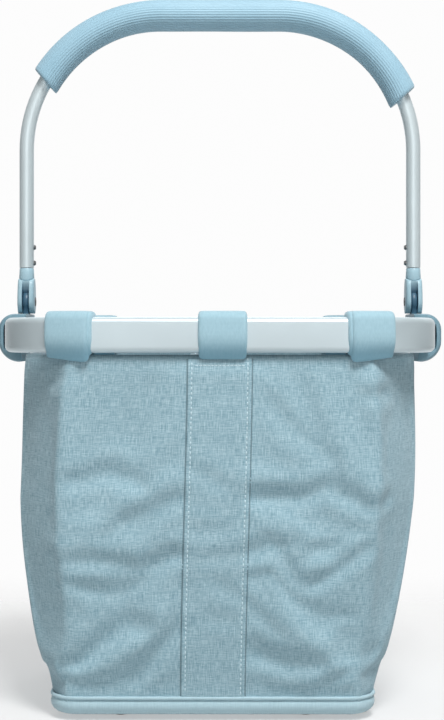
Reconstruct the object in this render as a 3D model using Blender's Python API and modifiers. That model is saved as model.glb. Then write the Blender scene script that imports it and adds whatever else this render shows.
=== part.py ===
"""A soft handlebar basket: an aluminium rim, a hinged bow handle, a sewn fabric bag and a rear adapter.

Every size below is in millimetres. Blender's own units here are metres, so lengths pass through MM as
they enter the scene. X runs to the right, Y to the back and Z up, and the soles of the feet are at Z = 0.
Shapes are placed from two empties: one at the middle of the rim, and one on the handle's hinge axis.
"""

from math import asin, cos, pi, radians, sin, sqrt

import bmesh
import bpy
from mathutils import Matrix, Vector

MM = 0.001
GAP = 0.3  # clearance between pieces that touch

# Rim: a flat oval tube bent into a rounded rectangle.
RIM_WIDTH = 340.0
RIM_DEPTH = 260.0
RIM_CORNER = 72.0
RIM_TALL = 27.0
RIM_THICK = 12.0
RIM_EDGE = 5.0
RIM_WALL = 1.2
JOINER_LENGTH = 50.0

# Bag: half sizes at the mouth and at the base.
MOUTH_HALF_WIDTH = 156.0
MOUTH_HALF_DEPTH = 127.0
MOUTH_CORNER = 52.0
BASE_HALF_WIDTH = 124.0
BASE_HALF_DEPTH = 114.0
BASE_CORNER = 20.0
CLOTH = 2.0
MOUTH_BELOW_RIM = 15.5
TAPER_BELOW_RIM = 134.0
TAPER_END = 274.0
BASE_BELOW_RIM = 288.0
TAPER_POWER = 1.45
BASE_CLOTH = 2.0
BOARD = 3.0
BASE_BAND_TALL = 9.2
BASE_BAND_THICK = 1.6
BASE_BAND_LIFT = 0.6  # how far the band stands off the panels
PIPING_RADIUS = 1.5
FOOT_TALL = 3.7
FOOT_RADIUS = 8.2
FOOT_TAPER = 1.5
FOOT_X = 71.0
FOOT_Y = 88.0
CENTRE_BAND_WIDTH = 48.0
CENTRE_BAND_THICK = 1.2

# Webbing loops that hang the bag from the rim.
WEB_WIDTH = 38.0
WEB_THICK = 2.2
WEB_RISE = 18.2
WEB_DROP = 18.0
WEB_BEND = 5.0
CORNER_LOOP_X = 112.0

# Hinge blocks, one on each short side of the rim.
BLOCK_REACH = 11.5
BLOCK_LENGTH = 58.0
BLOCK_TOP = 17.4
BLOCK_BOTTOM = 22.0
BLOCK_TOP_ROUND = 13.0
BLOCK_BOTTOM_ROUND = 17.0
BLOCK_EDGE = 0.8
BLOCK_SLOT = 1.4
BLOCK_SLOT_INSET = 4.7  # from the block's outer side to the middle of its slot
BLOCK_SLOT_UP = 5.8
BLOCK_SLOT_DOWN = 7.4
BLOCK_SCREW_Y = 19.0
BLOCK_SCREW_LENGTH = 16.5
BLOCK_HOLE_DEPTH = 5.0
EAR_THICK = 4.3
EAR_RADIUS = 9.0

# Handle: a bow of round tube in two forked ends.
PIVOT_HEIGHT = 27.75
HANDLE_X = 161.0
TUBE_RADIUS = 6.0
TUBE_WALL = 1.4
TUBE_START = 56.1
BEND_START = 154.0
BEND_RADIUS = 112.0
BEND_STEPS = 16
GRIP_RADIUS = 13.0
GRIP_FROM = 30.6  # degrees up the left bend
GRIP_TO = 22.9  # degrees up the right bend
FORK_WIDTH = 14.4
FORK_SLOT = 4.9
FORK_RADIUS = 10.0
FORK_NECK = 7.2
FORK_TOP = 47.5
FORK_EDGE = 1.8
FORK_SHOULDER = 3.5  # solid part between the slot's top and the collar
FORK_WEB = 6.0  # core left between the front and back grooves above the ear
EAR_CLEARANCE = 1.4
PLUG_RADIUS = 4.2
PLUG_TOP = 80.0
PIN_RADIUS = 2.0
PIN_CLEARANCE = 0.05
PIN_HEAD = 3.6
PIN_HEAD_TALL = 1.7
PIN_HEAD_PROUD = 0.4
PIN_SEAT = 1.6
PIN_SOCKET = 1.5
PIN_END = 5.0  # past the middle of the fork
RIVET_HEIGHTS = {"lower": 60.0, "upper": 73.0}
RIVET_RADIUS = 1.5
RIVET_HEAD = 2.4
RIVET_HEAD_TALL = 1.4
RIVET_END_X = 163.0

# Rear adapter for a handlebar bracket.
ADAPTER_WIDTH = 96.0
ADAPTER_TALL = 100.0
ADAPTER_THICK = 5.0
ADAPTER_CORNER = 10.0
ADAPTER_BELOW_RIM = 80.0
BOSS_WIDTH = 54.0
BOSS_TALL = 84.0
BOSS_THICK = 9.0
BOSS_CORNER = 6.0
GROOVE_WIDE = 5.0
GROOVE_DEEP = 6.0
GROOVE_LIP = 3.0
BACKING_THICK = 3.0
ADAPTER_SCREW_X = 38.0
ADAPTER_SCREW_Z = 38.0
SCREW_RADIUS = 2.0
SCREW_HEAD = 3.7
SCREW_HEAD_TALL = 2.2
NUT_RADIUS = 4.0
NUT_TALL = 3.2
OVERCUT = 2.0  # how far a cutter runs past what it cuts

RIM_HEIGHT = BASE_BELOW_RIM + FOOT_TALL + GAP
ADAPTER_Y = MOUTH_HALF_DEPTH + CENTRE_BAND_THICK + 2 * GAP
BACK_REACH = ADAPTER_Y + ADAPTER_THICK + BOSS_THICK
CORNER_CENTRE_X = RIM_WIDTH / 2 - RIM_CORNER
CORNER_CENTRE_Y = RIM_DEPTH / 2 - RIM_CORNER
LOOP_TURN = asin((CORNER_LOOP_X - CORNER_CENTRE_X) / (RIM_CORNER - RIM_THICK / 2))
LOOP_REACH = (RIM_CORNER + GAP + WEB_THICK) * cos(LOOP_TURN) + WEB_WIDTH / 2 * sin(LOOP_TURN)
FRONT_REACH = CORNER_CENTRE_Y + LOOP_REACH
RIM_Y = (FRONT_REACH - BACK_REACH) / 2  # puts the whole basket's middle at Y = 0
LIMB_X = (RIM_WIDTH - RIM_THICK) / 2
SIDES = {"left": -1, "right": 1}
FACES = {"front": -1, "back": 1}

COLOURS = {
    "anodised_aluminium": ((0.62, 0.72, 0.76), 0.32, 1.0),
    "blue_plastic": ((0.36, 0.58, 0.68), 0.45, 0.0),
    "hinge_plastic": ((0.16, 0.27, 0.33), 0.5, 0.0),
    "foam_grip": ((0.36, 0.58, 0.70), 0.85, 0.0),
    "blue_webbing": ((0.30, 0.50, 0.60), 0.9, 0.0),
    "melange_cloth": ((0.30, 0.47, 0.54), 0.95, 0.0),
    "base_trim": ((0.37, 0.54, 0.60), 0.9, 0.0),
    "stiffener_board": ((0.10, 0.11, 0.12), 0.8, 0.0),
    "black_plastic": ((0.02, 0.02, 0.02), 0.5, 0.0),
    "steel": ((0.42, 0.42, 0.42), 0.35, 1.0),
}


def clear_scene():
    for leftover in list(bpy.data.objects):
        bpy.data.objects.remove(leftover, do_unlink=True)


def make_collection(name):
    collection = bpy.data.collections.new(name)
    bpy.context.scene.collection.children.link(collection)
    return collection


def make_material(name):
    colour, roughness, metallic = COLOURS[name]
    material = bpy.data.materials.new(name)
    material.use_nodes = True
    shader = material.node_tree.nodes["Principled BSDF"]
    shader.inputs["Base Color"].default_value = (*colour, 1.0)
    shader.inputs["Roughness"].default_value = roughness
    shader.inputs["Metallic"].default_value = metallic
    material.diffuse_color = (*colour, 1.0)
    return material


def make_empty(name, place, parent=None):
    empty = bpy.data.objects.new(name, None)
    empty.empty_display_size = 20 * MM
    empty.location = Vector(place) * MM
    empty.parent = parent
    parts.objects.link(empty)
    return empty


# ---- basic solids ------------------------------------------------------------------------------


def add_object(name, data, parent, collection=None):
    made = bpy.data.objects.new(name, data)
    made.parent = parent
    (collection or parts).objects.link(made)
    return made


def finish_bmesh(name, shape, parent, collection=None):
    mesh = bpy.data.meshes.new(name)
    shape.to_mesh(mesh)
    shape.free()
    return add_object(name, mesh, parent, collection)


def box(name, size, place, parent, collection=None):
    shape = bmesh.new()
    bmesh.ops.create_cube(shape, size=1.0)
    bmesh.ops.scale(shape, vec=Vector(size) * MM, verts=shape.verts)
    made = finish_bmesh(name, shape, parent, collection)
    made.location = Vector(place) * MM
    return made


def add_cone(shape, bottom, top, start, end, along, centre=(0, 0, 0), sides=24):
    """A cylinder or cone from start to end along one axis, X, Y or Z, through the point centre."""
    turn = {
        "X": Matrix.Rotation(pi / 2, 4, "Y"),
        "Y": Matrix.Rotation(-pi / 2, 4, "X"),
        "Z": Matrix.Identity(4),
    }[along]
    middle = Matrix.Translation((0, 0, (start + end) / 2 * MM))
    bmesh.ops.create_cone(
        shape,
        cap_ends=True,
        segments=sides,
        radius1=bottom * MM,
        radius2=top * MM,
        depth=(end - start) * MM,
        matrix=Matrix.Translation(Vector(centre) * MM) @ turn @ middle,
    )


def cylinder(name, radius, start, end, along, centre, parent, collection=None, sides=24):
    shape = bmesh.new()
    add_cone(shape, radius, radius, start, end, along, centre, sides)
    return finish_bmesh(name, shape, parent, collection)


def cone(name, radii, start, end, along, centre, parent, collection=None, sides=24):
    shape = bmesh.new()
    add_cone(shape, *radii, start, end, along, centre, sides)
    return finish_bmesh(name, shape, parent, collection)


def poly_spline(data, points, closed):
    spline = data.splines.new("POLY")
    spline.points.add(len(points) - 1)
    for target, point in zip(spline.points, points):
        target.co = (*(Vector(point).to_3d() * MM), 1.0)
    spline.use_cyclic_u = closed


def plate(name, outlines, thickness, parent, collection=None):
    """A flat solid around z = 0 from closed 2-D outlines; an outline inside another is a hole."""
    data = bpy.data.curves.new(name, "CURVE")
    data.dimensions = "2D"
    data.fill_mode = "BOTH"
    data.extrude = thickness / 2 * MM
    for outline in outlines:
        poly_spline(data, outline, closed=True)
    return as_mesh(add_object(name, data, parent, collection))


def ribbon(name, points, width, thickness, parent):
    """A strip of webbing: an open 2-D line, widened along its local Z and thickened."""
    data = bpy.data.curves.new(name, "CURVE")
    data.dimensions = "2D"
    data.fill_mode = "NONE"
    data.extrude = width / 2 * MM
    poly_spline(data, points, closed=False)
    made = as_mesh(add_object(name, data, parent))
    thicken(made, thickness, 0)
    return made


def swept(name, path, profile, closed, parent, twist="Z_UP"):
    """A closed profile carried along a path; an open path is left open at its ends."""
    section = bpy.data.curves.new(name + "_section", "CURVE")
    section.dimensions = "2D"
    section.fill_mode = "NONE"
    poly_spline(section, profile, closed=True)
    guide = add_object(name + "_section", section, None, cutters)
    guide.hide_render = True
    data = bpy.data.curves.new(name, "CURVE")
    data.dimensions = "3D"
    data.twist_mode = twist
    data.bevel_mode = "OBJECT"
    data.bevel_object = guide
    poly_spline(data, path, closed)
    made = as_mesh(add_object(name, data, parent))
    bpy.data.objects.remove(guide, do_unlink=True)
    return made


def as_mesh(curve):
    """The curve object as a mesh object with its caps welded and its faces turned outward."""
    bpy.context.view_layer.update()
    graph = bpy.context.evaluated_depsgraph_get()
    mesh = bpy.data.meshes.new_from_object(curve.evaluated_get(graph))
    shape = bmesh.new()
    shape.from_mesh(mesh)
    bmesh.ops.remove_doubles(shape, verts=shape.verts, dist=0.00001)
    bmesh.ops.recalc_face_normals(shape, faces=shape.faces)
    shape.to_mesh(mesh)
    shape.free()
    name = curve.name
    parent = curve.parent
    collection = curve.users_collection[0]
    place = curve.matrix_world.copy()
    bpy.data.objects.remove(curve, do_unlink=True)
    mesh.name = name
    made = add_object(name, mesh, parent, collection)
    made.matrix_world = place
    return made


def thicken(target, thickness, offset):
    """Solidify an open surface: offset -1 grows against its normals, 1 along them, 0 both ways."""
    solid = target.modifiers.new("cloth thickness", "SOLIDIFY")
    solid.thickness = thickness * MM
    solid.offset = offset
    solid.use_even_offset = True


def round_edges(target, width, segments=2, angle=40):
    bevel = target.modifiers.new("rounded edges", "BEVEL")
    bevel.width = width * MM
    bevel.segments = segments
    bevel.limit_method = "ANGLE"
    bevel.angle_limit = radians(angle)


def combine(target, tool, operation):
    """Add or cut away one shape; the tool stays in the cutters collection, out of the render."""
    tool.hide_render = True
    tool.display_type = "WIRE"
    change = target.modifiers.new(operation.lower() + " " + tool.name, "BOOLEAN")
    change.operation = operation
    change.solver = "EXACT"
    change.object = tool


def paint(target, slot, smooth_angle=35):
    target.data.materials.clear()
    target.data.materials.append(materials[slot])
    if not smooth_angle:
        return
    target.data.shade_smooth()
    target.data.set_sharp_from_angle(angle=radians(smooth_angle))


# ---- outlines ----------------------------------------------------------------------------------


def arc(centre, radius, start, end, steps):
    """Points on an arc, angles in degrees."""
    points = []
    for step in range(steps + 1):
        angle = radians(start + (end - start) * step / steps)
        points.append((centre[0] + radius * cos(angle), centre[1] + radius * sin(angle)))
    return points


def rounded_rectangle(half_width, half_depth, corner, steps):
    outline = []
    for turn, (x, y) in enumerate(((1, 1), (-1, 1), (-1, -1), (1, -1))):
        centre = (x * (half_width - corner), y * (half_depth - corner))
        outline += arc(centre, corner, 90 * turn, 90 * turn + 90, steps)
    return outline


def mirrored(outline, side):
    return [(side * point[0], point[1]) for point in outline]


# ---- rim ---------------------------------------------------------------------------------------


def rim_profile(shrink):
    """The tube's cross-section, upright, made smaller all round by shrink."""
    return rounded_rectangle(RIM_THICK / 2 - shrink, RIM_TALL / 2 - shrink, RIM_EDGE - shrink, 3)


def make_rim(frame):
    """A hollow tube whose two ends meet inside the left hinge block, over a joiner."""
    corners = rounded_rectangle(LIMB_X, (RIM_DEPTH - RIM_THICK) / 2, RIM_CORNER - RIM_THICK / 2, 9)
    half = len(corners) // 2
    path = [(-LIMB_X, -GAP / 2)] + corners[half:] + corners[:half] + [(-LIMB_X, GAP / 2)]
    tube = swept("rim_tube", path, rim_profile(0), False, frame)
    thicken(tube, RIM_WALL, -1)
    for side in SIDES.values():
        for face in FACES.values():
            hole = screw_hole("rim_hole", side, face, LIMB_X - RIM_THICK, LIMB_X + RIM_THICK, frame)
            combine(tube, hole, "DIFFERENCE")
    paint(tube, "anodised_aluminium")


def make_joiner(frame):
    core = plate("rim_joiner", [rim_profile(RIM_WALL + GAP)], JOINER_LENGTH, frame)
    core.location = Vector((-LIMB_X, 0, 0)) * MM
    core.rotation_euler = (pi / 2, 0, 0)
    for face in FACES.values():
        hole = screw_hole("joiner_hole", -1, face, LIMB_X - RIM_THICK, LIMB_X + RIM_THICK, frame)
        combine(core, hole, "DIFFERENCE")
    paint(core, "anodised_aluminium")


def screw_hole(name, side, face, start, end, frame):
    first, last = sorted((side * start, side * end))
    centre = (0, face * BLOCK_SCREW_Y, 0)
    return cylinder(name, SCREW_RADIUS + GAP, first, last, "X", centre, frame, cutters)


# ---- hinge blocks ------------------------------------------------------------------------------


def block_outline():
    """The C that hooks over the rim's outer side, for the right-hand block, as (x, z)."""
    outer_x = RIM_WIDTH / 2 + BLOCK_REACH
    inner_x = LIMB_X - RIM_THICK / 2 - GAP
    face_x = RIM_WIDTH / 2 + GAP
    half = RIM_TALL / 2 + GAP
    edge = RIM_EDGE
    tail_x = outer_x - BLOCK_BOTTOM_ROUND
    outline = [(inner_x, BLOCK_TOP)]
    outline += arc((outer_x - BLOCK_TOP_ROUND, BLOCK_TOP - BLOCK_TOP_ROUND), BLOCK_TOP_ROUND, 90, 0, 8)
    outline += arc((tail_x, BLOCK_BOTTOM_ROUND - BLOCK_BOTTOM), BLOCK_BOTTOM_ROUND, 0, -90, 8)
    outline += [(tail_x, -half)]
    outline += arc((face_x - edge, edge - half), edge, -90, 0, 4)
    outline += arc((face_x - edge, half - edge), edge, 0, 90, 4)
    outline += [(inner_x, half)]
    return outline


def block_slot():
    """The thin slot between the block's two walls."""
    x = RIM_WIDTH / 2 + BLOCK_REACH - BLOCK_SLOT_INSET
    half = BLOCK_SLOT / 2
    return arc((x, BLOCK_SLOT_UP), half, 0, 180, 4) + arc((x, -BLOCK_SLOT_DOWN), half, 180, 360, 4)


def ear_outline():
    """The hinge ear seen from the side, as (y, z): a round top on a wider foot."""
    foot = FORK_RADIUS
    base = BLOCK_TOP - OVERCUT
    return [(foot, base)] + arc((0, PIVOT_HEIGHT), EAR_RADIUS, 0, 180, 12) + [(-foot, base)]


def side_plate(name, outline, thickness, x, parent, collection=None):
    """A plate whose outline is given as (y, z) and whose thickness runs along X."""
    made = plate(name, [outline], thickness, parent, collection)
    made.location = (x * MM, 0, 0)
    made.rotation_euler = (pi / 2, 0, pi / 2)
    return made


def make_hinge_block(name, side, frame):
    outlines = [mirrored(block_outline(), side), mirrored(block_slot(), side)]
    block = plate("hinge_block_" + name, outlines, BLOCK_LENGTH, frame)
    block.rotation_euler = (pi / 2, 0, 0)
    round_edges(block, BLOCK_EDGE, 2, 50)
    ear = side_plate("ear_" + name, ear_outline(), EAR_THICK, side * HANDLE_X, frame, cutters)
    combine(block, ear, "UNION")
    start, end = HANDLE_X - FORK_WIDTH, HANDLE_X + FORK_WIDTH
    bore = PIN_RADIUS + PIN_CLEARANCE
    pin_hole = cylinder(
        "ear_bore", bore, *sorted((side * start, side * end)), "X", (0, 0, PIVOT_HEIGHT), frame, cutters
    )
    combine(block, pin_hole, "DIFFERENCE")
    for face in FACES.values():
        hole = screw_hole("block_hole", side, face, LIMB_X, RIM_WIDTH / 2 + BLOCK_HOLE_DEPTH, frame)
        combine(block, hole, "DIFFERENCE")
    paint(block, "hinge_plastic")


def make_block_screw(name, side, face, frame):
    """A screw from inside the rim, through both of the tube's walls, into the hinge block."""
    head = LIMB_X - RIM_THICK / 2 - GAP
    y = face * BLOCK_SCREW_Y
    start, end = sorted((side * (head - SCREW_HEAD_TALL / 2), side * (head + BLOCK_SCREW_LENGTH)))
    screw = cylinder("hinge_block_screw_" + name, SCREW_RADIUS, start, end, "X", (0, y, 0), frame)
    start, end = sorted((side * (head - SCREW_HEAD_TALL), side * head))
    cap = cylinder("screw_head", SCREW_HEAD, start, end, "X", (0, y, 0), frame, cutters)
    combine(screw, cap, "UNION")
    paint(screw, "steel")


# ---- handle ------------------------------------------------------------------------------------


def bow_point(side, angle):
    """A point of the handle's bend, angle degrees round from its straight leg, as (x, y, z)."""
    turn = radians(angle)
    x = HANDLE_X - BEND_RADIUS * (1 - cos(turn))
    z = BEND_START + BEND_RADIUS * sin(turn) - PIVOT_HEIGHT
    return (side * x, 0, z)


def bow_path(left_angle, right_angle):
    """Points along the bow from an angle on the left bend to an angle on the right one."""
    shares = [i / BEND_STEPS for i in range(BEND_STEPS + 1)]
    left = [bow_point(-1, left_angle + (90 - left_angle) * share) for share in shares]
    right = [bow_point(1, right_angle + (90 - right_angle) * share) for share in shares]
    return left + right[::-1]


def make_handle_tube(pivot):
    foot = TUBE_START - PIVOT_HEIGHT
    path = [(-HANDLE_X, 0, foot)] + bow_path(0, 0) + [(HANDLE_X, 0, foot)]
    ring = arc((0, 0), TUBE_RADIUS, 0, 337.5, 15)
    tube = swept("handle_tube", path, ring, False, pivot, "MINIMUM")
    thicken(tube, TUBE_WALL, -1)
    for side in SIDES.values():
        for height in RIVET_HEIGHTS.values():
            hole = rivet_hole(side, height, HANDLE_X - 2 * TUBE_RADIUS, HANDLE_X, pivot)
            combine(tube, hole, "DIFFERENCE")
    paint(tube, "anodised_aluminium")


def rivet_hole(side, height, start, end, pivot):
    first, last = sorted((side * start, side * end))
    centre = (0, 0, height - PIVOT_HEIGHT)
    return cylinder("rivet_hole", RIVET_RADIUS + GAP, first, last, "X", centre, pivot, cutters, 12)


def make_grip(pivot):
    ring = arc((0, 0), GRIP_RADIUS, 0, 337.5, 15)
    grip = swept("handle_grip", bow_path(GRIP_FROM, GRIP_TO), ring, False, pivot, "MINIMUM")
    thicken(grip, GRIP_RADIUS - TUBE_RADIUS - GAP, -1)
    paint(grip, "foam_grip")


def fork_outline():
    """A fork seen from the side, from the hinge axis, as (y, z): a round end that narrows to the neck."""
    top = FORK_TOP - PIVOT_HEIGHT
    return arc((0, 0), FORK_RADIUS, 180, 360, 14) + [(FORK_NECK, top), (-FORK_NECK, top)]


def make_fork(name, side, pivot):
    x = side * HANDLE_X
    neck = FORK_TOP - PIVOT_HEIGHT
    collar_top = TUBE_START - GAP - PIVOT_HEIGHT
    fork = side_plate("fork_" + name, fork_outline(), FORK_WIDTH, x, pivot)
    round_edges(fork, FORK_EDGE, 3, 50)
    radii = (FORK_NECK - GAP, TUBE_RADIUS)
    collar = cone("collar_" + name, radii, neck - FORK_EDGE, collar_top, "Z", (x, 0, 0), pivot, cutters)
    combine(fork, collar, "UNION")
    plug_foot, plug_top = collar_top - OVERCUT, PLUG_TOP - PIVOT_HEIGHT
    plug = cylinder("plug_" + name, PLUG_RADIUS, plug_foot, plug_top, "Z", (x, 0, 0), pivot, cutters, 16)
    combine(fork, plug, "UNION")
    cut_fork_slot(fork, name, x, pivot)
    cut_pin_seat(fork, side, pivot)
    for height in RIVET_HEIGHTS.values():
        hole = rivet_hole(side, height, HANDLE_X - 2 * TUBE_RADIUS, RIVET_END_X + GAP, pivot)
        combine(fork, hole, "DIFFERENCE")
    paint(fork, "blue_plastic")


def cut_fork_slot(fork, name, x, pivot):
    """A slot right through for the ear, and above it a groove in the front and in the back."""
    bottom = -FORK_RADIUS - OVERCUT
    through = EAR_RADIUS + EAR_CLEARANCE
    top = FORK_TOP - PIVOT_HEIGHT - FORK_SHOULDER
    size = (FORK_SLOT, 3 * FORK_RADIUS, through - bottom)
    slot = box("fork_slot_" + name, size, (x, 0, (through + bottom) / 2), pivot, cutters)
    combine(fork, slot, "DIFFERENCE")
    for end, face in FACES.items():
        size = (FORK_SLOT, FORK_RADIUS, top - through + OVERCUT)
        place = (x, face * (FORK_WEB + FORK_RADIUS) / 2, (top + through - OVERCUT) / 2)
        groove = box("fork_groove_" + name + "_" + end, size, place, pivot, cutters)
        combine(fork, groove, "DIFFERENCE")


def cut_pin_seat(fork, side, pivot):
    """The bore for the hinge screw and the recess for its head."""
    inner = HANDLE_X - FORK_WIDTH / 2
    start, end = sorted((side * (inner - OVERCUT), side * (HANDLE_X + PIN_END + GAP)))
    bore = cylinder("pin_bore", PIN_RADIUS + PIN_CLEARANCE, start, end, "X", (0, 0, 0), pivot, cutters)
    combine(fork, bore, "DIFFERENCE")
    start, end = sorted((side * (inner - OVERCUT), side * (inner + PIN_SEAT)))
    recess = cylinder("pin_recess", PIN_HEAD + GAP, start, end, "X", (0, 0, 0), pivot, cutters)
    combine(fork, recess, "DIFFERENCE")


def make_pivot_pin(name, side, pivot):
    """The hinge screw: its head sits in the fork's inner prong and its end in the outer one."""
    outside = HANDLE_X - FORK_WIDTH / 2 - PIN_HEAD_PROUD
    middle = outside + PIN_HEAD_TALL / 2
    start, end = sorted((side * middle, side * (HANDLE_X + PIN_END)))
    pin = cylinder("pivot_pin_" + name, PIN_RADIUS, start, end, "X", (0, 0, 0), pivot)
    start, end = sorted((side * outside, side * (outside + PIN_HEAD_TALL)))
    head = cylinder("pin_head", PIN_HEAD, start, end, "X", (0, 0, 0), pivot, cutters)
    combine(pin, head, "UNION")
    start, end = sorted((side * (outside - OVERCUT), side * (outside + PIN_SEAT)))
    socket = cylinder("pin_socket", PIN_SOCKET, start, end, "X", (0, 0, 0), pivot, cutters, 6)
    combine(pin, socket, "DIFFERENCE")
    paint(pin, "steel")


def make_rivet(name, side, height, pivot):
    face = HANDLE_X - TUBE_RADIUS - GAP
    centre = (0, 0, height - PIVOT_HEIGHT)
    start, end = sorted((side * (face - RIVET_HEAD_TALL / 2), side * RIVET_END_X))
    rivet = cylinder("tube_rivet_" + name, RIVET_RADIUS, start, end, "X", centre, pivot, sides=12)
    radii = (RIVET_HEAD, RIVET_RADIUS)
    if side > 0:
        radii = radii[::-1]
    start, end = sorted((side * (face - RIVET_HEAD_TALL), side * face))
    head = cone("rivet_head", radii, start, end, "X", centre, pivot, cutters, 16)
    combine(rivet, head, "UNION")
    paint(rivet, "steel")


# ---- bag ---------------------------------------------------------------------------------------


def taper(below):
    """0 where the bag hangs straight and 1 at its base, by the distance below the rim's middle."""
    share = (below - TAPER_BELOW_RIM) / (TAPER_END - TAPER_BELOW_RIM)
    return min(1.0, max(0.0, share)) ** TAPER_POWER


def bag_section(below):
    """(half width, half depth, corner radius) of the bag's outside."""
    share = taper(below)
    corner_share = min(1.0, (below - MOUTH_BELOW_RIM) / (TAPER_END - MOUTH_BELOW_RIM))
    return (
        MOUTH_HALF_WIDTH + (BASE_HALF_WIDTH - MOUTH_HALF_WIDTH) * share,
        MOUTH_HALF_DEPTH + (BASE_HALF_DEPTH - MOUTH_HALF_DEPTH) * share,
        MOUTH_CORNER + (BASE_CORNER - MOUTH_CORNER) * corner_share,
    )


def bag_rows():
    """Distances below the rim's middle, closer together where the bag tapers."""
    foot = BASE_BELOW_RIM - BASE_CLOTH - GAP
    straight = [MOUTH_BELOW_RIM, (MOUTH_BELOW_RIM + TAPER_BELOW_RIM) / 2]
    tapered = [TAPER_BELOW_RIM + (TAPER_END - TAPER_BELOW_RIM) * i / 9 for i in range(10)]
    return straight + tapered + [foot]


def front_columns(section):
    """The front panel's line at one height, from side seam to side seam round both corners."""
    width, depth, corner = section
    left = arc((corner - width, corner - depth), corner, 180, 270, 6)
    right = arc((width - corner, corner - depth), corner, 270, 360, 6)
    start, end = left[-1][0], right[0][0]
    middle = [(start + (end - start) * i / 6, -depth) for i in range(1, 6)]
    return left + middle + right


def side_columns(section):
    width, depth, corner = section
    reach = depth - corner - GAP
    return [(width, -reach + 2 * reach * i / 5) for i in range(6)]


def make_panel(name, columns, turn, frame):
    """One cloth panel of the bag: a grid over its columns and rows, thickened inwards."""
    shape = bmesh.new()
    previous = None
    for below in bag_rows():
        row = [shape.verts.new((x * MM, y * MM, -below * MM)) for x, y in columns(bag_section(below))]
        for i in range(len(row) - 1 if previous else 0):
            shape.faces.new((previous[i], row[i], row[i + 1], previous[i + 1]))
        previous = row
    panel = finish_bmesh(name, shape, frame)
    panel.rotation_euler = (0, 0, turn)
    thicken(panel, CLOTH, -1)
    paint(panel, "melange_cloth")
    return panel


def make_centre_band(name, face, frame):
    """The strip sewn down the middle of the front or back panel."""
    top = WEB_DROP + 1.5
    bottom = BASE_BELOW_RIM - BASE_CLOTH - BASE_BAND_TALL - 2 * PIPING_RADIUS - 1
    heights = [top] + [below for below in bag_rows() if top < below < bottom] + [bottom]
    lift = GAP + CENTRE_BAND_THICK / 2 + 0.1
    line = [(bag_section(below)[1] + lift, -below) for below in heights]
    band = ribbon(name, line, CENTRE_BAND_WIDTH, CENTRE_BAND_THICK, frame)
    band.rotation_euler = (pi / 2, 0, face * pi / 2)
    paint(band, "melange_cloth")


def base_outline(grow):
    width, depth, corner = bag_section(BASE_BELOW_RIM)
    return rounded_rectangle(width + grow, depth + grow, corner + grow, 6)


def make_base(frame):
    cloth = plate("base_panel", [base_outline(BASE_BAND_LIFT + BASE_BAND_THICK)], BASE_CLOTH, frame)
    cloth.location = (0, 0, (BASE_CLOTH / 2 - BASE_BELOW_RIM) * MM)
    paint(cloth, "melange_cloth")
    board = plate("base_board", [base_outline(-CLOTH - 2 * GAP)], BOARD, frame)
    board.location = (0, 0, (BASE_CLOTH + GAP + BOARD / 2 - BASE_BELOW_RIM) * MM)
    paint(board, "stiffener_board")


def make_base_trim(frame):
    """The band round the base and the piping along its top edge."""
    foot = BASE_CLOTH + GAP
    outlines = [base_outline(BASE_BAND_LIFT + BASE_BAND_THICK), base_outline(BASE_BAND_LIFT)]
    band = plate("base_band", outlines, BASE_BAND_TALL, frame)
    band.location = (0, 0, (foot + BASE_BAND_TALL / 2 - BASE_BELOW_RIM) * MM)
    paint(band, "base_trim")
    height = foot + BASE_BAND_TALL + GAP + PIPING_RADIUS
    width, depth, corner = bag_section(BASE_BELOW_RIM - height)
    grow = 2 * GAP + PIPING_RADIUS
    path = rounded_rectangle(width + grow, depth + grow, corner + grow, 6)
    cord = swept("base_piping", path, arc((0, 0), PIPING_RADIUS, 0, 315, 7), True, frame)
    cord.location = (0, 0, (height - BASE_BELOW_RIM) * MM)
    paint(cord, "base_trim")


def make_foot(name, side, face, frame):
    start = -BASE_BELOW_RIM - GAP - FOOT_TALL
    radii = (FOOT_RADIUS - FOOT_TAPER, FOOT_RADIUS)
    centre = (side * FOOT_X, face * FOOT_Y, 0)
    foot = cone("foot_" + name, radii, start, start + FOOT_TALL, "Z", centre, frame, sides=28)
    paint(foot, "black_plastic")


# ---- webbing loops -----------------------------------------------------------------------------


def loop_line(outer, inner):
    """A loop over the rim, as (outward distance, height): up outside, over the top, down inside."""
    top = WEB_RISE - WEB_THICK / 2
    bend = WEB_BEND
    line = [(outer, -WEB_DROP)]
    line += arc((outer - bend, top - bend), bend, 0, 90, 4)
    line += arc((inner + bend, top - bend), bend, 90, 180, 4)
    line += [(inner, -WEB_DROP)]
    return line


def make_straight_loop(name, face, frame):
    half = RIM_DEPTH / 2
    lift = GAP + WEB_THICK / 2
    line = loop_line(half + lift, half - RIM_THICK - lift)
    loop = ribbon(name, line, WEB_WIDTH, WEB_THICK, frame)
    loop.rotation_euler = (pi / 2, 0, face * pi / 2)
    paint(loop, "blue_webbing")


def make_corner_loop(name, side, face, frame):
    """A flat loop across the rim's curved corner, so it stands off the rim at its edges."""
    lift = GAP + WEB_THICK / 2
    inside = sqrt((RIM_CORNER - RIM_THICK - GAP) ** 2 - (WEB_WIDTH / 2) ** 2)
    line = loop_line(RIM_CORNER + lift, inside - WEB_THICK / 2)
    loop = ribbon(name, line, WEB_WIDTH, WEB_THICK, frame)
    loop.location = Vector((side * CORNER_CENTRE_X, face * CORNER_CENTRE_Y, 0)) * MM
    loop.rotation_euler = (pi / 2, 0, face * (pi / 2 - side * LOOP_TURN))
    paint(loop, "blue_webbing")


# ---- rear adapter ------------------------------------------------------------------------------


def adapter_outline():
    return rounded_rectangle(ADAPTER_WIDTH / 2, ADAPTER_TALL / 2, ADAPTER_CORNER, 4)


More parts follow.
